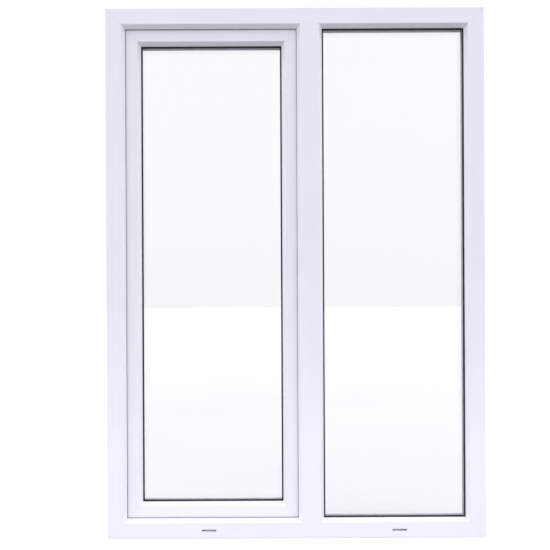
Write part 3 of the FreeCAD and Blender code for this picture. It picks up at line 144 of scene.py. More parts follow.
@dataclass
class Graph:
    """The node tree of a material or of the world.

    Attributes:
        tree: The node tree that the methods add to.
    """

    tree: bpy.types.NodeTree

    @classmethod
    def of(cls, owner: bpy.types.Material | bpy.types.World) -> "Graph":
        """Starts an empty node tree.

        Args:
            owner: The material or world that it belongs to.

        Returns:
            The node tree.
        """
        owner.use_nodes = True
        owner.node_tree.nodes.clear()
        return cls(owner.node_tree)

    def add(
        self,
        kind: str,
        settings: Mapping[str, object] | None = None,
        sockets: Mapping[str | int, Input] | None = None,
        output: str | int = 0,
    ) -> Wire:
        """Adds a node.

        Args:
            kind: The node's type, such as ShaderNodeTexNoise.
            settings: Properties, set before the sockets.
            sockets: Values or wires for the inputs, by name or by number.
            output: Which of the node's outputs to hand back.

        Returns:
            The chosen output.
        """
        node = self.tree.nodes.new(kind)
        for name, value in (settings or {}).items():
            setattr(node, name, value)
        for name, value in (sockets or {}).items():
            if isinstance(value, Wire):
                self.tree.links.new(value.socket, node.inputs[name])
            else:
                node.inputs[name].default_value = value
        return Wire(self, node.outputs[output])

    def finish(self, kind: str, surface: Wire) -> None:
        """Ends the tree with an output node of that type, which shows the surface."""
        output = self.tree.nodes.new(kind)
        self.tree.links.new(surface.socket, output.inputs["Surface"])

    def math(self, operation: str, first: Input, second: Input, clamp: bool = False) -> Wire:
        """Adds a Math node, whose result is kept between 0 and 1 if clamp is set."""
        return self.add("ShaderNodeMath", {"operation": operation, "use_clamp": clamp}, {0: first, 1: second})

    def blend(self, factor: Input, first: Input, second: Input) -> Wire:
        """Mixes two colours: a factor of 0 gives the first and 1 the second."""
        sockets = {0: factor, 6: first, 7: second}
        return self.add("ShaderNodeMix", {"data_type": "RGBA"}, sockets, output=2)

    def spread(self, value: Wire, low: float, high: float, start: float = 0.0, end: float = 1.0) -> Wire:
        """Maps a value from start..end to low..high smoothly, and keeps it in that range."""
        sockets = {0: value, 1: start, 2: end, 3: low, 4: high}
        return self.add("ShaderNodeMapRange", {"interpolation_type": "SMOOTHSTEP"}, sockets)

    def place(self) -> Wire:
        """Where a shaded point lies on its object, which moves with the object."""
        return self.add("ShaderNodeTexCoord", output="Object")

    def stretched(self, scale: Sequence[float]) -> Wire:
        """The shaded point's place with each axis scaled, which stretches what reads it."""
        sockets = {"Vector": self.place(), "Scale": scale}
        return self.add("ShaderNodeMapping", {"vector_type": "POINT"}, sockets)

    def noise(self, vector: Wire, scale: float, detail: float = 2.0, roughness: float = 0.5) -> Wire:
        """Adds noise of about 0.5 on average, with its scale in waves per metre."""
        sockets = {"Vector": vector, "Scale": scale, "Detail": detail, "Roughness": roughness}
        return self.add("ShaderNodeTexNoise", {}, sockets)

    def bump(self, height: Wire, strength: float, distance: float, below: Wire | None = None) -> Wire:
        """Adds a Bump node.

        Args:
            height: The height over the surface, from 0 to 1.
            strength: How much of it shows.
            distance: How high 1 stands.
            below: A bump that this one lies on.

        Returns:
            The bent normal.
        """
        sockets = {"Strength": strength, "Distance": distance, "Height": height}
        if below is not None:
            sockets["Normal"] = below
        return self.add("ShaderNodeBump", {}, sockets)

    def principled(self, sockets: Mapping[str, Input]) -> Wire:
        """Adds a Principled BSDF with those values and wires."""
        return self.add("ShaderNodeBsdfPrincipled", {}, sockets)


# --- finishes


@dataclass(frozen=True)
class Finish(ABC):
    """A finish that a maker would name.

    Attributes:
        name: The material's name.
    """

    name: str

    def material(self) -> bpy.types.Material:
        """The material of this finish, made the first time that it is asked for."""
        found = bpy.data.materials.get("finish_" + self.name)
        if found:
            return found
        made = bpy.data.materials.new("finish_" + self.name)
        graph = Graph.of(made)
        graph.finish("ShaderNodeOutputMaterial", self.surface(graph))
        return made

    @abstractmethod
    def surface(self, graph: Graph) -> Wire:
        """Builds the finish's nodes.

        Args:
            graph: The material's empty node tree.

        Returns:
            The surface shader.
        """


@dataclass(frozen=True)
class Welds:
    """The welded mitres of a frame, each of which shows as a fine groove.

    Attributes:
        middle: The frame's middle, across and up.
        half: Half the frame's width, and half its height.
        width: Half the groove's width.
        flat: The share of that width that is flat.
    """

    middle: Point
    half: Point
    width: float = 1.3 * MM
    flat: float = 0.3

    @classmethod
    def between(cls, members: Sequence[str]) -> "Welds":
        """The welds of a frame.

        Args:
            members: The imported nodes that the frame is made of.

        Returns:
            Its welds.
        """
        lows, highs = zip(*(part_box(member) for member in members))
        left, bottom = min(low.x for low in lows), min(low.z for low in lows)
        right, top = max(high.x for high in highs), max(high.z for high in highs)
        return cls(((left + right) / 2, (bottom + top) / 2), ((right - left) / 2, (top - bottom) / 2))

    def mark(self, graph: Graph) -> Wire:
        """Marks the grooves.

        Args:
            graph: The material's node tree.

        Returns:
            A value that is 1 in the grooves, and 0 away from them.
        """
        inward = []
        for axis, middle, half in zip(("X", "Z"), self.middle, self.half):
            along = graph.add("ShaderNodeSeparateXYZ", {}, {"Vector": graph.place()}, output=axis)
            inward.append(graph.math("ABSOLUTE", along - middle, 0.0) * -1.0 + half)
        apart = graph.math("ABSOLUTE", inward[0] - inward[1], 0.0)
        return graph.spread(apart, 1.0, 0.0, self.flat * self.width, self.width)


@dataclass(frozen=True)
class Extruded(Finish):
    """Rigid white PVC-U from a die: satin, with fine die lines and a soft variation of its gloss.

    Attributes:
        grain: The direction of the die lines.
        shade: The middle colour.
        gloss: The middle roughness.
        welds: The welds of the frame that the member belongs to, if it has any.
        waves: Waves per metre of the die lines along and across, of the slow variation, and of the skin.
        tones: How bright the darkest and lightest parts and the welds are, as shares of the middle colour.
        relief: How high the die lines and the skin stand, and how deep the welds lie.
    """

    grain: Grain = Grain.UPRIGHT
    shade: Colour = (0.86, 0.862, 0.905, 1.0)
    gloss: float = 0.30
    welds: Welds | None = None
    waves: tuple[float, float, float, float] = (1.2, 420.0, 9.0, 900.0)
    tones: Triple = (0.985, 1.012, 0.93)
    relief: Point = (0.01 * MM, 0.1 * MM)

    def surface(self, graph: Graph) -> Wire:
        """Die lines that run along the member, over a faint large-scale variation."""
        along, across, slow, fine = self.waves
        darkest, lightest, weld = self.tones
        skin_height, weld_depth = self.relief
        waves = [along if way else across for way in self.grain.value]
        lines = graph.noise(graph.stretched(waves), 1.0, detail=2.0)
        clouds = graph.noise(graph.place(), slow, detail=3.0)
        peel = graph.noise(graph.place(), fine, detail=1.0)
        tone = graph.spread(clouds * 0.6 + lines * 0.4, 0.0, 1.0, 0.3, 0.7)
        colour = graph.blend(tone, times(darkest, self.shade), times(lightest, self.shade))
        bent = graph.bump(peel, 0.1, skin_height, graph.bump(lines, 0.12, skin_height))
        if self.welds:
            groove = self.welds.mark(graph)
            colour = graph.blend(groove, colour, times(weld, self.shade))
            bent = graph.bump(groove * -1.0, 0.4, weld_depth, bent)
        rough = graph.spread(lines * 0.5 + clouds * 0.5, self.gloss - 0.03, self.gloss + 0.04, 0.3, 0.7)
        sockets = {"Base Color": colour, "Roughness": rough, "Normal": bent}
        return graph.principled(sockets | {"IOR": 1.53, "Specular IOR Level": 0.5})


@dataclass(frozen=True)
class Rubber(Finish):
    """Black EPDM: matt, with a fine skin and a little bloom."""

    shade: Colour = (0.018, 0.019, 0.022, 1.0)

    def surface(self, graph: Graph) -> Wire:
        """A fine skin with patches of grey bloom."""
        bloom = graph.noise(graph.place(), 60.0, detail=4.0)
        skin = graph.noise(graph.place(), 2500.0, detail=2.0)
        paler = tuple(min(0.8, part + 0.02 + 0.1 * part) for part in self.shade[:3]) + (1.0,)
        sockets = {
            "Base Color": graph.blend(graph.spread(bloom, 0.0, 1.0, 0.45, 0.75), self.shade, paler),
            "Roughness": graph.spread(bloom, 0.58, 0.74, 0.3, 0.7),
            "Normal": graph.bump(skin, 0.35, 0.05 * MM),
            "IOR": 1.5,
            "Specular IOR Level": 0.28,
        }
        return graph.principled(sockets)


@dataclass(frozen=True)
class ClearGlass(Finish):
    """Float glass: light passes straight through, and each face mirrors a little.

    Attributes:
        tint: What each face lets through.
    """

    tint: Colour = (0.984, 0.985, 0.988, 1.0)

    def surface(self, graph: Graph) -> Wire:
        """A clear layer under a mirror whose share follows the viewing angle, with faint wiping streaks."""
        turned = graph.add(
            "ShaderNodeMapping",
            {"vector_type": "POINT"},
            {"Vector": graph.place(), "Rotation": (0.0, math.radians(28.0), 0.0), "Scale": (0.35, 1.0, 3.2)},
        )
        wiping = graph.noise(turned, 2.6, detail=2.0, roughness=0.55)
        streak = graph.spread(wiping, 0.0, 1.0, 0.52, 0.66)
        grazing = graph.add("ShaderNodeLayerWeight", {}, {"Blend": 0.5}, output="Facing")
        mirror = 0.04 + 0.96 * grazing**5.0
        clear = graph.add("ShaderNodeBsdfTransparent", {}, {"Color": self.tint})
        gloss = graph.add("ShaderNodeBsdfGlossy", {}, {"Roughness": 0.0, "Color": grey(1.0)})
        share = graph.math("ADD", mirror, streak * 0.01, clamp=True)
        return graph.add("ShaderNodeMixShader", {}, {0: share, 1: clear, 2: gloss})


@dataclass(frozen=True)
class Metal(Finish):
    """Bare or plated metal.

    Attributes:
        shade: The middle colour.
        gloss: The middle roughness.
        grain: Scale of the brush marks on each axis, in waves per metre.
        mottle: How much the colour varies from patch to patch.
    """

    shade: Colour = (0.62, 0.62, 0.63, 1.0)
    gloss: float = 0.3
    grain: Triple = (900.0, 900.0, 40.0)
    mottle: float = 0.06

    def surface(self, graph: Graph) -> Wire:
        """Brush marks over patches of slightly different shade."""
        brushed = graph.noise(graph.stretched(self.grain), 1.0, detail=3.0)
        patches = graph.noise(graph.place(), 60.0, detail=3.0)
        darker, lighter = times(1.0 - self.mottle, self.shade), times(1.0 + self.mottle, self.shade)
        sockets = {
            "Base Color": graph.blend(graph.spread(patches, 0.0, 1.0, 0.35, 0.65), darker, lighter),
            "Metallic": 1.0,
            "Roughness": graph.spread(brushed, self.gloss - 0.04, self.gloss + 0.08, 0.3, 0.7),
            "Normal": graph.bump(brushed, 0.15, 0.01 * MM),
        }
        return graph.principled(sockets)


@dataclass(frozen=True)
class Galvanised(Finish):
    """Hot-dip zinc with its crystals."""

    def surface(self, graph: Graph) -> Wire:
        """Flat crystals, each of its own grey and gloss."""
        sockets = {"Vector": graph.place(), "Scale": 140.0}
        crystals = graph.add("ShaderNodeTexVoronoi", {"feature": "F1"}, sockets, output="Color")
        tone = graph.add("ShaderNodeSeparateColor", {}, {0: crystals})
        sockets = {
            "Base Color": graph.blend(tone, (0.42, 0.44, 0.46, 1.0), (0.62, 0.64, 0.66, 1.0)),
            "Metallic": 1.0,
            "Roughness": graph.spread(tone, 0.34, 0.52),
            "Normal": graph.bump(tone, 0.15, 0.03 * MM),
        }
        return graph.principled(sockets)


@dataclass(frozen=True)
class Moulded(Finish):
    """A moulded, cast or painted solid with a fine texture.

    Attributes:
        shade: The middle colour.
        gloss: The middle roughness.
        texture: Scale of the texture, in waves per metre.
        relief: How high the texture stands, in metres.
        coat: Weight of a clear coat.
        mottle: How much darker its patches are.
        sheen: How much its surface mirrors.
        glow: How much light it sends out by itself.
    """

    shade: Colour = (0.85, 0.85, 0.89, 1.0)
    gloss: float = 0.35
    texture: float = 1800.0
    relief: float = 0.04 * MM
    coat: float = 0.0
    mottle: float = 0.05
    sheen: float = 0.5
    glow: float = 0.0

    def surface(self, graph: Graph) -> Wire:
        """Fine texture over a faint variation of tone."""
        fine = graph.noise(graph.place(), self.texture, detail=2.0)
        clouds = graph.noise(graph.place(), 45.0, detail=3.0)
        darker = times(1.0 - self.mottle, self.shade)
        sockets = {
            "Base Color": graph.blend(graph.spread(clouds, 0.0, 1.0, 0.3, 0.6), darker, self.shade),
            "Roughness": graph.spread(clouds, self.gloss - 0.04, self.gloss + 0.07, 0.3, 0.7),
            "Normal": graph.bump(fine, 0.3, self.relief),
            "Coat Weight": self.coat,
            "IOR": 1.5,
            "Specular IOR Level": self.sheen,
            "Emission Color": grey(1.0),
            "Emission Strength": self.glow,
        }
        return graph.principled(sockets)


LEVEL_PROFILE = Extruded("profile_level", grain=Grain.LEVEL)
UPRIGHT_PROFILE = Extruded("profile_upright", grain=Grain.UPRIGHT)
LEVEL_BEAD = Extruded("bead_level", grain=Grain.LEVEL, gloss=0.24)
UPRIGHT_BEAD = Extruded("bead_upright", grain=Grain.UPRIGHT, gloss=0.24)
EPDM = Rubber("epdm")
PALE_SEAL = Rubber("pale_bead_seal", shade=(0.74, 0.74, 0.77, 1.0))
FLOAT_GLASS = ClearGlass("float_glass")
SEALANT = Moulded("edge_sealant", grey(0.03), gloss=0.6, texture=700.0, relief=0.2 * MM)
SPACER = Metal("aluminium_spacer", (0.86, 0.87, 0.88, 1.0), 0.34, grain=(30.0, 900.0, 30.0), mottle=0.04)
PACKER = Moulded("glazing_packer", shade=(0.55, 0.06, 0.05, 1.0), gloss=0.4)
ZINC_COAT = Galvanised("galvanised")
ZINC_CASTING = Metal("zinc_casting", shade=(0.46, 0.46, 0.47, 1.0), gloss=0.42, grain=(700.0, 700.0, 700.0))
PLATED = Metal("plated_screw", shade=(0.70, 0.69, 0.66, 1.0), gloss=0.24, grain=(800.0, 800.0, 800.0))
BRIGHT_STEEL = Metal("bright_steel", shade=(0.64, 0.64, 0.65, 1.0), gloss=0.26)
POWDER_COAT = Moulded(
    "powder_coat", (0.86, 0.86, 0.89, 1.0), gloss=0.33, texture=2200.0, relief=0.08 * MM, coat=0.15
)
ACETAL = Moulded("acetal_bush", shade=(0.78, 0.77, 0.72, 1.0), gloss=0.3)


# --- mesh tools


def put_in_scene(name: str, data: bpy.types.ID) -> bpy.types.Object:
    """Makes an object and puts it in the scene.

    Args:
        name: The object's name.
        data: The mesh, lamp or camera that it shows.

    Returns:
        The object.
    """
    made = bpy.data.objects.new(name, data)
    bpy.context.scene.collection.objects.link(made)
    return made


def dress(node: str, finish: Finish) -> None:
    """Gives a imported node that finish."""
    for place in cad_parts[node].material_slots:
        place.material = finish.material()


@dataclass
class Piece:
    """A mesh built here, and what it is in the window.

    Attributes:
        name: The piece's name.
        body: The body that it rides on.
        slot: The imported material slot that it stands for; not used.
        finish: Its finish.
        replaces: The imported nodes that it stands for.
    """

    name: str
    body: Body
    slot: Slot
    finish: Finish
    replaces: tuple[str, ...]
    mesh: bmesh.types.BMesh = field(default_factory=bmesh.new)

    def show(self, smooth_under: float) -> None:
        """Turns the mesh into an object of the scene.

        Args:
            smooth_under: Faces that meet at a flatter angle than this, in degrees, are shaded smooth.
        """
        bmesh.ops.remove_doubles(self.mesh, verts=self.mesh.verts, dist=1e-7)
        bmesh.ops.recalc_face_normals(self.mesh, faces=self.mesh.faces)
        data = bpy.data.meshes.new(self.name)
        for face in self.mesh.faces:
            face.smooth = True
        for edge in self.mesh.edges:
            if len(edge.link_faces) == 2:
                edge.smooth = edge.calc_face_angle(0.0) < math.radians(smooth_under)
        self.mesh.to_mesh(data)
        self.mesh.free()
        data.materials.append(self.finish.material())
        shape = put_in_scene(self.name, data)
        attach(shape, self.body.value)
        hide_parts(*self.replaces)
        log.info("%s: %d faces on %s", self.name, len(data.polygons), self.body.value)


def skin(mesh: bmesh.types.BMesh, rings: Sequence[Sequence[Vector]], closed: bool = False) -> None:
    """Joins rings of points with faces.

    Args:
        mesh: The mesh to add to.
        rings: The rings, each with as many points.
        closed: Whether the last ring joins the first. If not, both ends are filled.
    """
    made = [[mesh.verts.new(point) for point in ring] for ring in rings]
    count = len(made[0])
    for near, far in zip(made, made[1:] + made[:1] if closed else made[1:]):
        for step in range(count):
            after = (step + 1) % count
            mesh.faces.new((near[step], near[after], far[after], far[step]))
    if not closed:
        mesh.faces.new(made[0])
        mesh.faces.new(made[-1])


def arc(centre: Point, radius: float, start: float, end: float, steps: int) -> list[Point]:
    """Points on an arc.

    Args:
        centre: The arc's centre.
        radius: Its radius.
        start: The first point's angle, in degrees.
        end: The last point's angle, in degrees.
        steps: How many parts the arc has.

    Returns:
        The points, both ends included.
    """
    angles = [math.radians(start + (end - start) * step / steps) for step in range(steps + 1)]
    return [(centre[0] + radius * math.cos(angle), centre[1] + radius * math.sin(angle)) for angle in angles]


@dataclass(frozen=True)
class Loop:
    """A rectangle that a section is carried round.

    Attributes:
        left: Its lowest X.
        right: Its highest X.
        bottom: Its lowest Z.
        top: Its highest Z.
    """

    left: float
    right: float
    bottom: float
    top: float

    @classmethod
    def round_node(cls, node: str, inset: float) -> "Loop":
        """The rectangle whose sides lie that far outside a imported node."""
        low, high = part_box(node)
        return cls(low.x - inset, high.x + inset, low.z - inset, high.z + inset)

    def round_corners(self, inward: float, depth: float, radius: float) -> list[Vector]:
        """One section point's way round the rectangle.

        Args:
            inward: How far inside the rectangle the point runs.
            depth: Its Y.
            radius: The radius that it turns each corner with.

        Returns:
            The points, anticlockwise seen from outside.
        """
        left, right = self.left + inward, self.right - inward
        bottom, top = self.bottom + inward, self.top - inward
        corners = (
            ((right, bottom), (-1, 1), 270.0),
            ((right, top), (-1, -1), 0.0),
            ((left, top), (1, -1), 90.0),
            ((left, bottom), (1, 1), 180.0),
        )
        points = []
        for (x, z), (across, up), start in corners:
            centre = (x + across * radius, z + up * radius)
            points += arc(centre, radius, start, start + 90.0, CORNER_STEPS)
        return [Vector((x, depth, z)) for x, z in points]


# --- sub-assemblies


@dataclass
class PackedShapes:
    """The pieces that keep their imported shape.

    Attributes:
        made_of: Each finish, and the nodes that have it.
        welded: The level and the upright members of each welded frame, after its name.
    """

    made_of: tuple[tuple[Finish, tuple[str, ...]], ...] = (
        (UPRIGHT_PROFILE, ("mullion",)),
        (LEVEL_BEAD, ("fixed_bead_top", "fixed_bead_bottom", "sash_bead_top", "sash_bead_bottom")),
        (UPRIGHT_BEAD, ("fixed_bead_left", "fixed_bead_right", "sash_bead_hinge", "sash_bead_lock")),
        (ZINC_COAT, ("frame_reinforcement", "mullion_reinforcement", "sash_reinforcement")),
        (FLOAT_GLASS, ("fixed_pane_outer", "fixed_pane_inner", "sash_pane_outer", "sash_pane_inner")),
        (SEALANT, ("fixed_edge_sealant", "sash_edge_sealant")),
        (PACKER, ("fixed_glazing_blocks", "sash_glazing_blocks")),
        (POWDER_COAT, ("hinge_lower_frame_leaf", "hinge_upper_frame_leaf", "handle_base")),
        (POWDER_COAT, ("hinge_lower_sash_leaf", "hinge_upper_sash_leaf")),
        (ACETAL, ("hinge_bushes",)),
        (BRIGHT_STEEL, ("handle_spindle", "lock_faceplate", "drive_rod")),
        (ZINC_CASTING, ("keep_lower", "keep_middle", "keep_upper")),
        (ZINC_CASTING, ("lock_pinion", "lock_case", "mullion_connectors")),
    )
    welded: tuple[tuple[str, tuple[str, ...], tuple[str, ...]], ...] = (
        ("frame", ("frame_head", "frame_sill"), ("frame_jamb_left", "frame_jamb_right")),
        ("sash", ("sash_top_rail", "sash_bottom_rail"), ("sash_hinge_stile", "sash_lock_stile")),
    )

    def dress(self) -> None:
        """Gives each node its finish. The die lines of a member run along it."""
        groups = list(self.made_of)
        for name, level, upright in self.welded:
            welds = Welds.between(level + upright)
            groups.append((replace(LEVEL_PROFILE, name=name + "_level", welds=welds), level))
            groups.append((replace(UPRIGHT_PROFILE, name=name + "_upright", welds=welds), upright))
        for finish, nodes in groups:
            for node in nodes:
                dress(node, finish)
        log.info("packed shapes dressed")


@dataclass
class Seal:
    """A rubber seal with mitred corners, carried round a rebate.

    Attributes:
        node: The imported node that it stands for.
        body: The body that it rides on.
        inset: How far the node's outer edge lies inside the rebate.
        section: Its outline as (inward, depth) points, in metres.
        corner: The radius that its inmost edge turns a corner with.
        finish: Its finish.
        slot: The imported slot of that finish.
        sharp: The radius that its outmost edge turns a corner with.
    """

    node: str
    body: Body
    inset: float
    section: Sequence[Point]
    corner: float = 0.0
    finish: Finish = EPDM
    slot: Slot = Slot.GASKET
    sharp: float = 0.05 * MM

    def build(self) -> None:
        """Carries the section round the rebate."""
        loop = Loop.round_node(self.node, self.inset)
        inmost = max(inward for inward, _ in self.section)
        outmost = min(inward for inward, _ in self.section)
        rails = []
        for inward, depth in self.section:
            share = (inward - outmost) / (inmost - outmost)
            rails.append(loop.round_corners(inward, depth, self.sharp + self.corner * share**3))
        piece = Piece(self.node + "_run", self.body, self.slot, self.finish, (self.node,))
        skin(piece.mesh, list(zip(*rails)), closed=True)
        piece.show(smooth_under=50.0)


def bubble(near: float, far: float, foot: float, height: float) -> list[Point]:
    """The round top of a hollow seal, from far to near, that rises by that height from the foot's depth."""
    middle, half = (near + far) / 2, (far - near) / 2
    return [(middle + x * half, foot + y * height) for x, y in arc((0.0, 0.0), 1.0, 0.0, 180.0, BUBBLE_STEPS)]


@dataclass
class Seals:
    """All the rubber seals: round both panes, on the glazing beads, and where the sash closes.

    Attributes:
        rebate: How far the profile's edge stands in from the rebate's wall.
        groove: Width of a seal's groove, and how far its far side lies from that edge.
        play: How much narrower the root is than the groove, on each side.
        barb: How far inside each side of the groove the root's tip lies.
        neck: How deep the root's straight part goes.
        root: How deep the root goes.
        lip_back: How far in front of the glass its seal starts.
        proud: How far the glass's seal stands past the profile's edge.
        closing_proud: How far the seal that the sash closes on stands past it.
        bead_cover: Where the bead's seal starts, in from the rebate's wall.
        bead_recess: How far below the bead's edge its seal ends.
    """

    rebate: float = 20 * MM
    groove: float = 3 * MM
    play: float = 0.2 * MM
    barb: float = 0.9 * MM
    neck: float = 1.6 * MM
    root: float = 2.8 * MM
    lip_back: float = 4.5 * MM
    proud: float = 4.0 * MM
    closing_proud: float = 0.8 * MM
    bead_cover: float = 12 * MM
    bead_recess: float = 3.0 * MM

    @property
    def near(self) -> float:
        """Where the grooves start, in from the rebate's wall."""
        return self.rebate - 2 * self.groove

    def root_section(self, front: float) -> list[Point]:
        """The barbed root in the groove, and the front of the pad over it.

        Args:
            front: The Y that the pad starts at.

        Returns:
            The first part of an outline, as (inward, depth) points.
        """
        ends = 2 * self.near + self.groove
        half = [(self.near + self.play, front), (self.near + self.play, front - self.neck)]
        half += [(self.near + self.barb, front - self.root)]
        other = [(ends - inward, depth) for inward, depth in reversed(half)]
        return [(self.near, front)] + half + other + [(self.rebate, front)]

    def glass_section(self, back: float) -> list[Point]:
        """A wedge seal in front of the glass, with a lip that curls to it.

        Args:
            back: The Y of the glass face that it touches.

        Returns:
            Its outline.
        """
        front = back - self.lip_back
        tip = self.rebate + self.proud
        curl = 0.9 * MM
        outline = self.root_section(front) + arc((tip - curl, front + curl), curl, -90.0, 0.0, 4)
        outline += [(tip, back - 0.8 * MM), (tip - 0.15 * MM, back - 0.3 * MM), (tip - 0.4 * MM, back)]
        return outline + [(self.near, back)]

    def bead_section(self, front: float) -> list[Point]:
        """The soft edge between a glazing bead and the glass.

        Args:
            front: The Y of the glass face that it touches.

        Returns:
            Its outline, with a rounded lip just below the bead's edge.
        """
        thick = 3 * MM
        tip = self.rebate - self.bead_recess
        curl = 1.0 * MM
        outline = [(self.bead_cover, front), (tip - curl, front)]
        outline += arc((tip - curl, front + curl), curl, -90.0, 0.0, 4)
        outline += [(tip, front + 1.7 * MM), (tip - 0.4 * MM, front + 2.4 * MM)]
        return outline + [(tip - curl, front + thick), (self.bead_cover, front + thick)]

    def closing_section(self, front: float) -> list[Point]:
        """The outline of the bubble that the sash's outer lip closes on, for a pad that starts at that Y."""
        far, foot, high = self.rebate + self.closing_proud, 1.0 * MM, 2.2 * MM
        return self.root_section(front) + bubble(self.near, far, front + foot, high)

    def overlap_section(self, back: float) -> list[Point]:
        """The outline of the bubble between the sash's flange, which lies at that Y, and the outer frame."""
        low, high, foot, tall = 1 * MM, 6 * MM, 0.6 * MM, 2.1 * MM
        return [(low, back), (high, back)] + bubble(low, high, back - foot, -tall)

    def build(self) -> None:
        """Builds the seals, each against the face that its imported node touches."""
        for prefix, body in (("fixed", Body.FRAME), ("sash", Body.SASH)):
            pane_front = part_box(prefix + "_pane_outer")[0].y
            pane_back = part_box(prefix + "_pane_inner")[1].y
            Seal(prefix + "_outer_gasket", body, self.near, self.glass_section(pane_front), 2 * MM).build()
            soft_edge = self.bead_section(pane_back)
            bead_seal = Seal(prefix + "_bead_gasket", body, self.bead_cover, soft_edge, 1.2 * MM)
            replace(bead_seal, finish=PALE_SEAL, slot=Slot.BEAD_SEAL).build()
        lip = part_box("rebate_gasket")[0].y + self.groove - self.play
        Seal("rebate_gasket", Body.FRAME, self.near, self.closing_section(lip), 1 * MM).build()
        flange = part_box("sash_overlap_gasket")[1].y
        Seal("sash_overlap_gasket", Body.SASH, 1 * MM, self.overlap_section(flange)).build()


@dataclass
class Spacers:
    """The bent aluminium spacers between the panes, with shoulders and a butt seam.

    Attributes:
        height: How far a spacer stands in from the unit's edge.
        shoulder: Width of its sloped shoulders.
        seam: Depth of its seam.
        round_off: How much its inner edges are cut back.
        gap: How far it lies from each pane.
    """

    height: float = 6.5 * MM
    shoulder: float = 2.0 * MM
    seam: float = 0.35 * MM
    round_off: float = 0.5 * MM
    gap: float = 0.15 * MM

    def build(self) -> None:
        """Carries the spacer's section round each glass unit."""
        for prefix, body in (("fixed", Body.FRAME), ("sash", Body.SASH)):
            node = prefix + "_spacer"
            front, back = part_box(node)[0].y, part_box(node)[1].y
            Seal(node, body, 0.0, self._section(front, back), 0.0, SPACER, Slot.SPACER).build()

    def _section(self, front: float, back: float) -> list[Point]:
        """A spacer's section.

        Args:
            front: The Y of the pane in front.
            back: The Y of the pane behind.

        Returns:
            Its outline, as (inward, depth) points.
        """
        near, middle = front + self.gap, (front + back) / 2
        edge, floor = self.height - self.round_off, self.height - self.seam
        half = [(0.0, near + 1.5 * self.shoulder), (self.shoulder, near), (edge, near)]
        half += [(self.height, near + self.round_off), (self.height, middle - self.round_off)]
        half += [(floor, middle - 0.1 * MM)]
        return half + [(inward, front + back - depth) for inward, depth in reversed(half)]


class Line(Enum):
    """The direction that a turned piece points in, with the two directions across it."""

    ACROSS = (X, Y, Z)
    BACK_ACROSS = ((-1.0, 0.0, 0.0), Y, Z)
    INWARD = (Y, X, Z)
    UP = (Z, X, Y)
    DOWN = ((0.0, 0.0, -1.0), X, Y)

    @property
    def ahead(self) -> Vector:
        """The direction itself."""
        return Vector(self.value[0])


def solid_boxes(node: str) -> list[tuple[Vector, Vector]]:
    """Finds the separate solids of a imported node.

    Args:
        node: The node's name.

    Returns:
        Each solid's lowest and highest corner, from the lowest solid up.
    """
    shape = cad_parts[node]
    mesh = bmesh.new()
    mesh.from_mesh(shape.data)
    mesh.transform(shape.matrix_world)
    bmesh.ops.remove_doubles(mesh, verts=mesh.verts, dist=1e-5)
    boxes = []
    seen: set[bmesh.types.BMVert] = set()
    for start in mesh.verts:
        if start in seen:
            continue
        seen.add(start)
        group = [start]
        for vertex in group:
            for edge in vertex.link_edges:
                other = edge.other_vert(vertex)
                if other not in seen:
                    seen.add(other)
                    group.append(other)
        low = Vector(min(vertex.co[axis] for vertex in group) for axis in range(3))
        high = Vector(max(vertex.co[axis] for vertex in group) for axis in range(3))
        boxes.append((low, high))
    mesh.free()
    return sorted(boxes, key=lambda box: (round(box[0].z, 5), round(box[0].y, 5), round(box[0].x, 5)))


@dataclass(frozen=True)
class Lathe:
    """Makes rings of points about an axis.

    Attributes:
        line: The direction of the axis.
        end: The point on it that distances along it are counted back from.
        sides: How many points a ring has.
    """

    line: Line
    end: Vector
    sides: int

    @classmethod
    def on_box(cls, line: Line, low: Vector, high: Vector, sides: int) -> "Lathe":
        """The lathe whose axis runs through the middle of a box and ends at its far face."""
        half = abs(line.ahead.dot(high - low)) / 2
        return cls(line, (low + high) / 2 + half * line.ahead, sides)

    def ring(self, back: float, radius: Reach) -> list[Vector]:
        """One ring of points.

        Args:
            back: How far before the axis's end it lies.
            radius: Its radius, or a function that gives the radius at an angle.

        Returns:
            The points.
        """
        ahead, side, other = (Vector(way) for way in self.line.value)
        points = []
        for step in range(self.sides):
            angle = math.tau * step / self.sides
            reach = radius(angle) if callable(radius) else radius
            out = math.cos(angle) * side + math.sin(angle) * other
            points.append(self.end - back * ahead + reach * out)
        return points


def cross_outline(length: float, width: float) -> Outline:
    """A cross recess's distance from its middle at an angle.

    Args:
        length: Half the length of its arms.
        width: Half their width.

    Returns:
        The function that gives it.
    """

    def reach(angle: float) -> float:
        """The distance at one angle."""
        across = max(abs(math.cos(angle)), 1e-6)
        up = max(abs(math.sin(angle)), 1e-6)
        return max(min(length / across, width / up), min(width / across, length / up))

    return reach


def hexagon_outline(flat: float) -> Outline:
    """A hexagon's distance from its middle at an angle.

    Args:
        flat: Its distance to a flat.

    Returns:
        The function that gives it.
    """

    def reach(angle: float) -> float:
        """The distance at one angle."""
        sector = math.pi / 3
        return flat / math.cos(angle % sector - sector / 2)

    return reach


def scaled(outline: Outline, share: float) -> Outline:
    """An outline at another size."""
    return lambda angle: share * outline(angle)


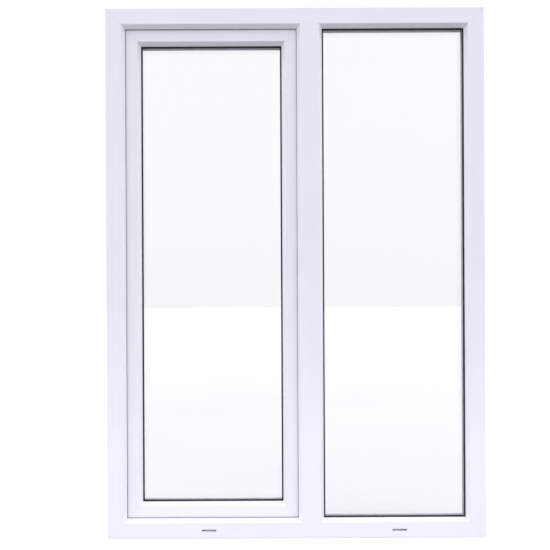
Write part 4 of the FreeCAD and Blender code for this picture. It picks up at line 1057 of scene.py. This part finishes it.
@dataclass
class Screws:
    """One node's screws: domed heads with a cross recess, and threaded shanks.

    Attributes:
        node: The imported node.
        body: The body that they ride on.
        lines: The direction from point to head of each screw, from the lowest up. One stands for all.
        head: Height of the heads.
        shank: Radius of the shanks.
        pointed: Whether the shanks end in a point.
        rim: Where the side of a head ends, as a share of its height from the top.
        crown: Radius of the flat top that its dome runs into, as a share of its radius.
        arm: Half the length of the recess's arms, as a share of the head's radius.
        cut: Half their width.
        pitch: Distance between turns of the thread, in shank radii.
        thread: Depth of the thread, in shank radii.
        point: Length of the point, in shank radii.
        plain: The share of the shank under the head that has no thread.
    """

    node: str
    body: Body
    lines: tuple[Line, ...]
    head: float
    shank: float
    pointed: bool = True
    rim: float = 0.70
    crown: float = 0.62
    arm: float = 0.56
    cut: float = 0.16
    pitch: float = 0.62
    thread: float = 0.24
    point: float = 2.2
    plain: float = 0.12

    def build(self) -> None:
        """Builds the node's screws as one piece."""
        piece = Piece(self.node + "_turned", self.body, Slot.SCREW, PLATED, (self.node,))
        boxes = solid_boxes(self.node)
        lines = self.lines if len(self.lines) > 1 else self.lines * len(boxes)
        for line, (low, high) in zip(lines, boxes, strict=True):
            skin(piece.mesh, self._rings(line, low, high))
        piece.show(smooth_under=40.0)

    def _rings(self, line: Line, low: Vector, high: Vector) -> list[list[Vector]]:
        """The rings of one screw, from its point to the bottom of its recess.

        Args:
            line: The direction from point to head.
            low: The lowest corner of its box.
            high: The highest corner.

        Returns:
            The rings.
        """
        lathe = Lathe.on_box(line, low, high, 40)
        size = high - low
        length = abs(line.ahead.dot(size))
        radius = (sum(size) - length) / 4
        recess = cross_outline(self.arm * radius, self.cut * radius)
        rings = self._thread(lathe, length - self.head)
        rings += [lathe.ring(self.head, 0.97 * radius), lathe.ring(0.94 * self.head, radius)]
        for turn in (0.0, 25.0, 45.0, 62.0, 78.0):
            tilt = math.radians(turn)
            share = self.crown + (1.0 - self.crown) * math.cos(tilt)
            rings.append(lathe.ring(self.rim * (1.0 - math.sin(tilt)) * self.head, share * radius))
        steps = ((0.01, 1.0), (0.10, 0.94), (0.70, 0.55), (0.80, 0.25))
        rings += [lathe.ring(back * self.head, scaled(recess, share)) for back, share in steps]
        return rings

    def _thread(self, lathe: Lathe, length: float) -> list[list[Vector]]:
        """The shank from its end up to the head.

        Args:
            lathe: Makes the rings.
            length: How long the shank is.

        Returns:
            Rings whose radius follows a helical thread.
        """
        pitch = self.pitch * self.shank
        steps = int(length / pitch * 5)
        rings = []
        for step in range(steps + 1):
            below = length * (1.0 - step / steps)
            taper = min(1.0, (length - below) / (self.point * self.shank) + 0.12) if self.pointed else 1.0
            cut = 0.0 if below < self.plain * length else self.thread

            def reach(angle: float, below: float = below, taper: float = taper, cut: float = cut) -> float:
                """The thread's radius at one angle."""
                phase = (below / pitch + angle / math.tau) % 1.0
                return self.shank * taper * (1.0 - cut * abs(2.0 * phase - 1.0))

            rings.append(lathe.ring(self.head + below, reach))
        return rings


@dataclass
class Turned:
    """One node's turned steel pieces, all with the same outline.

    Attributes:
        node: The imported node.
        body: The body that they ride on.
        line: The direction of their axis.
        outline: Each ring's distance back from the far end, and its radius.
    """

    node: str
    body: Body
    line: Line
    outline: Sequence[tuple[float, Reach]]

    def build(self) -> None:
        """Builds the node's pieces as one."""
        piece = Piece(self.node + "_turned", self.body, Slot.STEEL, BRIGHT_STEEL, (self.node,))
        for low, high in solid_boxes(self.node):
            lathe = Lathe.on_box(self.line, low, high, 48)
            skin(piece.mesh, [lathe.ring(back, radius) for back, radius in self.outline])
        piece.show(smooth_under=32.0)


@dataclass
class SmallParts:
    """Screws, hinge pins and locking cams."""

    def screws(self) -> tuple[Screws, ...]:
        """The screws of every node."""
        head, shank = 1.8 * MM, 2.1 * MM
        ends = (Line.DOWN, Line.DOWN, Line.UP, Line.UP)
        return (
            Screws("hinge_frame_screws", Body.FRAME, (Line.INWARD,), head, shank),
            Screws("hinge_sash_screws", Body.SASH, (Line.INWARD,), head, shank),
            Screws("lock_faceplate_screws", Body.SASH, (Line.ACROSS,), 1.2 * MM, shank),
            Screws("keep_screws", Body.FRAME, (Line.BACK_ACROSS,), 0.8 * MM, shank),
            Screws("handle_screws", Body.SASH, (Line.INWARD,), 3.0 * MM, 2.5 * MM, pointed=False),
            Screws("mullion_connector_screws", Body.FRAME, ends, 3.0 * MM, 2.4 * MM),
        )

    def pin_outline(self) -> list[tuple[float, Reach]]:
        """A hinge pin with a domed, grooved cap at each end.

        Returns:
            Each ring's distance back from the far end, and its radius.
        """
        low, high = solid_boxes("hinge_pins")[0]
        length = high.z - low.z
        cap = [(0.0, 1.2), (0.04, 3.4), (0.22, 5.0), (0.55, 6.1), (1.0, 6.75), (1.45, 7.0), (1.7, 7.0)]
        cap += [(1.8, 6.7), (2.1, 6.7), (2.2, 7.0), (2.9, 7.0), (3.0, 6.9), (3.0, 4.0)]
        near = [(back * MM, radius * MM) for back, radius in cap]
        far = [(length - back, radius) for back, radius in reversed(near)]
        return near + far

    def cam_outline(self) -> list[tuple[float, Reach]]:
        """A mushroom cam with a rounded rim and a six-sided socket in its face.

        Returns:
            Each ring's distance back from the far end, and its radius.
        """
        low, high = solid_boxes("locking_cams")[0]
        length = high.x - low.x
        socket = hexagon_outline(2.0 * MM)
        face = [(1.9, scaled(socket, 0.3)), (1.8, socket), (0.15, socket), (0.0, scaled(socket, 1.12))]
        rim = [(0.0, 4.6), (0.1, 5.2), (0.35, 5.65), (0.75, 5.93), (1.1, 6.0)]
        rim += [(2.5, 6.0), (2.8, 5.85), (3.0, 5.5), (3.0, 3.9), (3.3, 3.5)]
        rings = [(back * MM, reach) for back, reach in face]
        rings += [(back * MM, radius * MM) for back, radius in rim]
        return rings + [(length - 0.3 * MM, 3.5 * MM), (length, 3.2 * MM)]

    def build(self) -> None:
        """Builds them all."""
        for group in self.screws():
            group.build()
        Turned("hinge_pins", Body.FRAME, Line.UP, self.pin_outline()).build()
        Turned("locking_cams", Body.ROD, Line.ACROSS, self.cam_outline()).build()


@dataclass
class Lever:
    """The handle's lever: a neck in the base, and an arm that swells towards the fingers.

    Attributes:
        node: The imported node.
        neck: Radius of the neck.
        thickness: Depth of the arm.
        sections: How many parts the arm is lofted in, shorter ones at its ends.
        points: How many points a section has.
        bevel: Width of the neck's bevel, and how far its axis lies above the middle of the hub.
        tip: Radius of the arm's end, as a share of the hub's.
        front_power: How full the side of a section towards the room is.
        back_power: How full its side towards the window is.
    """

    node: str = "handle_lever"
    neck: float = 9.0 * MM
    thickness: float = 13.0 * MM
    sections: int = 44
    points: int = 40
    bevel: float = 0.6 * MM
    tip: float = 0.80
    front_power: float = 2.3
    back_power: float = 3.2

    def build(self) -> None:
        """Lofts the arm along its height and turns the neck."""
        low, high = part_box(self.node)
        axis = Vector(((low.x + high.x) / 2, 0.0, low.z + (high.x - low.x) / 2 + self.bevel))
        piece = Piece("lever", Body.HANDLE, Slot.HARDWARE, POWDER_COAT, (self.node,))
        shares = [0.5 - 0.5 * math.cos(math.pi * step / self.sections) for step in range(self.sections + 1)]
        skin(piece.mesh, [self._section(share, axis, low, high) for share in shares])
        lathe = Lathe(Line.INWARD, Vector((axis.x, high.y, axis.z)), 48)
        inner = high.y - low.y
        front = self.thickness
        outline = [(inner, self.neck - self.bevel), (inner - self.bevel, self.neck)]
        outline += [(front + 2.5 * MM, self.neck), (front + 1.2 * MM, self.neck + 0.15 * MM)]
        outline += [(front - 1.0 * MM, self.neck + 0.9 * MM), (front - 4.0 * MM, self.neck + 0.6 * MM)]
        skin(piece.mesh, [lathe.ring(back, radius) for back, radius in outline])
        piece.show(smooth_under=50.0)

    def _section(self, share: float, axis: Vector, low: Vector, high: Vector) -> list[Vector]:
        """One section of the arm.

        Args:
            share: How far up the arm it lies, from 0 to 1.
            axis: Where the neck's axis is.
            low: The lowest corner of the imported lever.
            high: Its highest corner.

        Returns:
            Its points, a rounded shape that is flatter towards the window.
        """
        length = high.z - low.z
        z = low.z + share * length
        hub = (high.x - low.x) / 2
        tip = self.tip * hub
        swell = 0.5 - 0.5 * math.cos(math.tau * min(1.0, max(0.0, (share - 0.05) / 0.9)))
        width = hub + (tip - hub) * min(1.0, 2.2 * share)
        width += hub * (0.05 * math.sin(math.pi * share) - 0.06 * swell)
        below = max(0.0, hub - (z - low.z)) / hub
        above = max(0.0, tip - (high.z - z)) / tip
        ends = math.sqrt(max(1e-4, 1.0 - below * below)) * math.sqrt(max(1e-4, 1.0 - above * above))
        half = self.thickness / 2 * (0.80 + 0.20 * ends) * (1.0 - 0.10 * share) * min(1.0, 0.25 + 2.2 * ends)
        middle = high.y - self.thickness / 2 - 0.5 * MM * share
        ring = []
        for step in range(self.points):
            angle = math.tau * step / self.points
            across, deep = math.cos(angle), math.sin(angle)
            power = 2.0 / (self.front_power if deep > 0 else self.back_power)
            x = math.copysign(abs(across) ** power, across) * width * ends
            y = math.copysign(abs(deep) ** power, deep) * half
            ring.append(Vector((axis.x + x, middle + y, z)))
        return ring


@dataclass
class Studio:
    """A pale floor, soft light from all round and above, and the camera.

    Attributes:
        sky: Brightness of the light from above.
        ground: Brightness of the light from below.
        sides: How much brighter the surround is to the left and right.
        backdrop: Brightness of the plain background that shows.
        dusk: The heights of a direction between which the light turns from ground to sky.
        fill: Power of the low soft light, in watts.
        fill_size: Its width and height.
        fill_place: Where it hangs.
        fill_aim: Where it shines.
        floor_reach: How far the floor goes each way.
        camera_place: Where the camera stands.
        lens: Its focal length, in millimetres on a 36 mm sensor.
        shift: How far its picture is shifted, in picture widths.
        roll: How far it leans, in degrees.
    """

    sky: float = 1.225
    ground: float = 0.40
    sides: float = 0.55
    backdrop: float = 1.0
    dusk: Point = (-0.42, 0.28)
    fill: float = 1.25
    fill_size: Point = (2.2, 0.2)
    fill_place: Triple = (0.0, -0.52, 0.12)
    fill_aim: Triple = (0.0, 0.0, 0.04)
    floor_reach: float = 60.0
    camera_place: Triple = (-0.113, -1.98, 0.629)
    lens: float = 48.36
    shift: Point = (0.040, 0.0455)
    roll: float = 0.27

    def light(self) -> None:
        """Lights the window from a plain surround that is brighter above, and from a soft box."""
        scene = bpy.context.scene
        scene.view_settings.view_transform = "Standard"
        scene.view_settings.look = "None"
        world = bpy.data.worlds.new("studio")
        scene.world = world
        graph = Graph.of(world)
        direction = graph.add("ShaderNodeTexCoord", {}, {}, output="Generated")
        sideways, height = (
            graph.add("ShaderNodeSeparateXYZ", {}, {0: direction}, output=axis) for axis in ("X", "Z")
        )
        share = graph.spread(height, 0.0, 1.0, *self.dusk)
        low = times(self.ground, (0.96, 0.94, 1.0, 1.0))
        high = times(self.sky, (0.93, 0.94, 1.0, 1.0))
        strength = 1.0 + self.sides * sideways * sideways
        around = {"Color": graph.blend(share, low, high), "Strength": strength}
        surround = graph.add("ShaderNodeBackground", {}, around)
        plain = graph.add("ShaderNodeBackground", {}, {"Color": grey(self.backdrop), "Strength": 1.0})
        seen = graph.add("ShaderNodeLightPath", {}, {}, output="Is Camera Ray")
        mixed = graph.add("ShaderNodeMixShader", {}, {0: seen, 1: surround, 2: plain})
        graph.finish("ShaderNodeOutputWorld", mixed)

    def fill_low(self) -> None:
        """Hangs a low, wide soft light in front of the window, which brightens its lower half."""
        lamp = bpy.data.lights.new("low_fill", "AREA")
        lamp.shape = "RECTANGLE"
        lamp.size, lamp.size_y = self.fill_size
        lamp.energy = self.fill
        lamp.color = (0.90, 0.94, 1.0)
        light = put_in_scene("low_fill", lamp)
        place = Vector(self.fill_place)
        aim = Vector(self.fill_aim) - place
        light.matrix_world = Matrix.Translation(place) @ aim.to_track_quat("-Z", "Y").to_matrix().to_4x4()
        light.visible_camera = False
        light.visible_glossy = False

    def lay_floor(self) -> None:
        """Lays a pale floor that the window stands on."""
        mesh = bmesh.new()
        reach = self.floor_reach
        corners = ((-reach, -reach), (reach, -reach), (reach, reach), (-reach, reach))
        mesh.faces.new([mesh.verts.new((x, y, 0.0)) for x, y in corners])
        data = bpy.data.meshes.new("floor")
        mesh.to_mesh(data)
        mesh.free()
        matt = Moulded("pale_floor", grey(0.45), 0.8, texture=400.0, mottle=0.01, sheen=0.0, glow=0.53)
        data.materials.append(matt.material())
        floor = put_in_scene("floor", data)
        floor.visible_diffuse = False
        floor.visible_glossy = False

    def set_camera(self) -> None:
        """Sets the camera square on to the window."""
        lens = bpy.data.cameras.new("camera")
        lens.sensor_width = 36.0
        lens.lens = self.lens
        lens.shift_x, lens.shift_y = self.shift
        lens.clip_end = 200.0
        camera = put_in_scene("camera", lens)
        level = Matrix.Rotation(math.radians(90.0), 4, "X")
        lean = Matrix.Rotation(math.radians(self.roll), 4, "Y")
        camera.matrix_world = Matrix.Translation(self.camera_place) @ lean @ level
        bpy.context.scene.camera = camera

    def build(self) -> None:
        """Sets up the whole studio."""
        self.light()
        self.fill_low()
        self.lay_floor()
        self.set_camera()


def main() -> None:
    """Builds and dresses the window, then the studio."""
    logging.basicConfig(level=logging.INFO, format="%(message)s")
    PackedShapes().dress()
    Seals().build()
    Spacers().build()
    SmallParts().build()
    Lever().build()
    Studio().build()


if __name__ == "__main__":
    main()
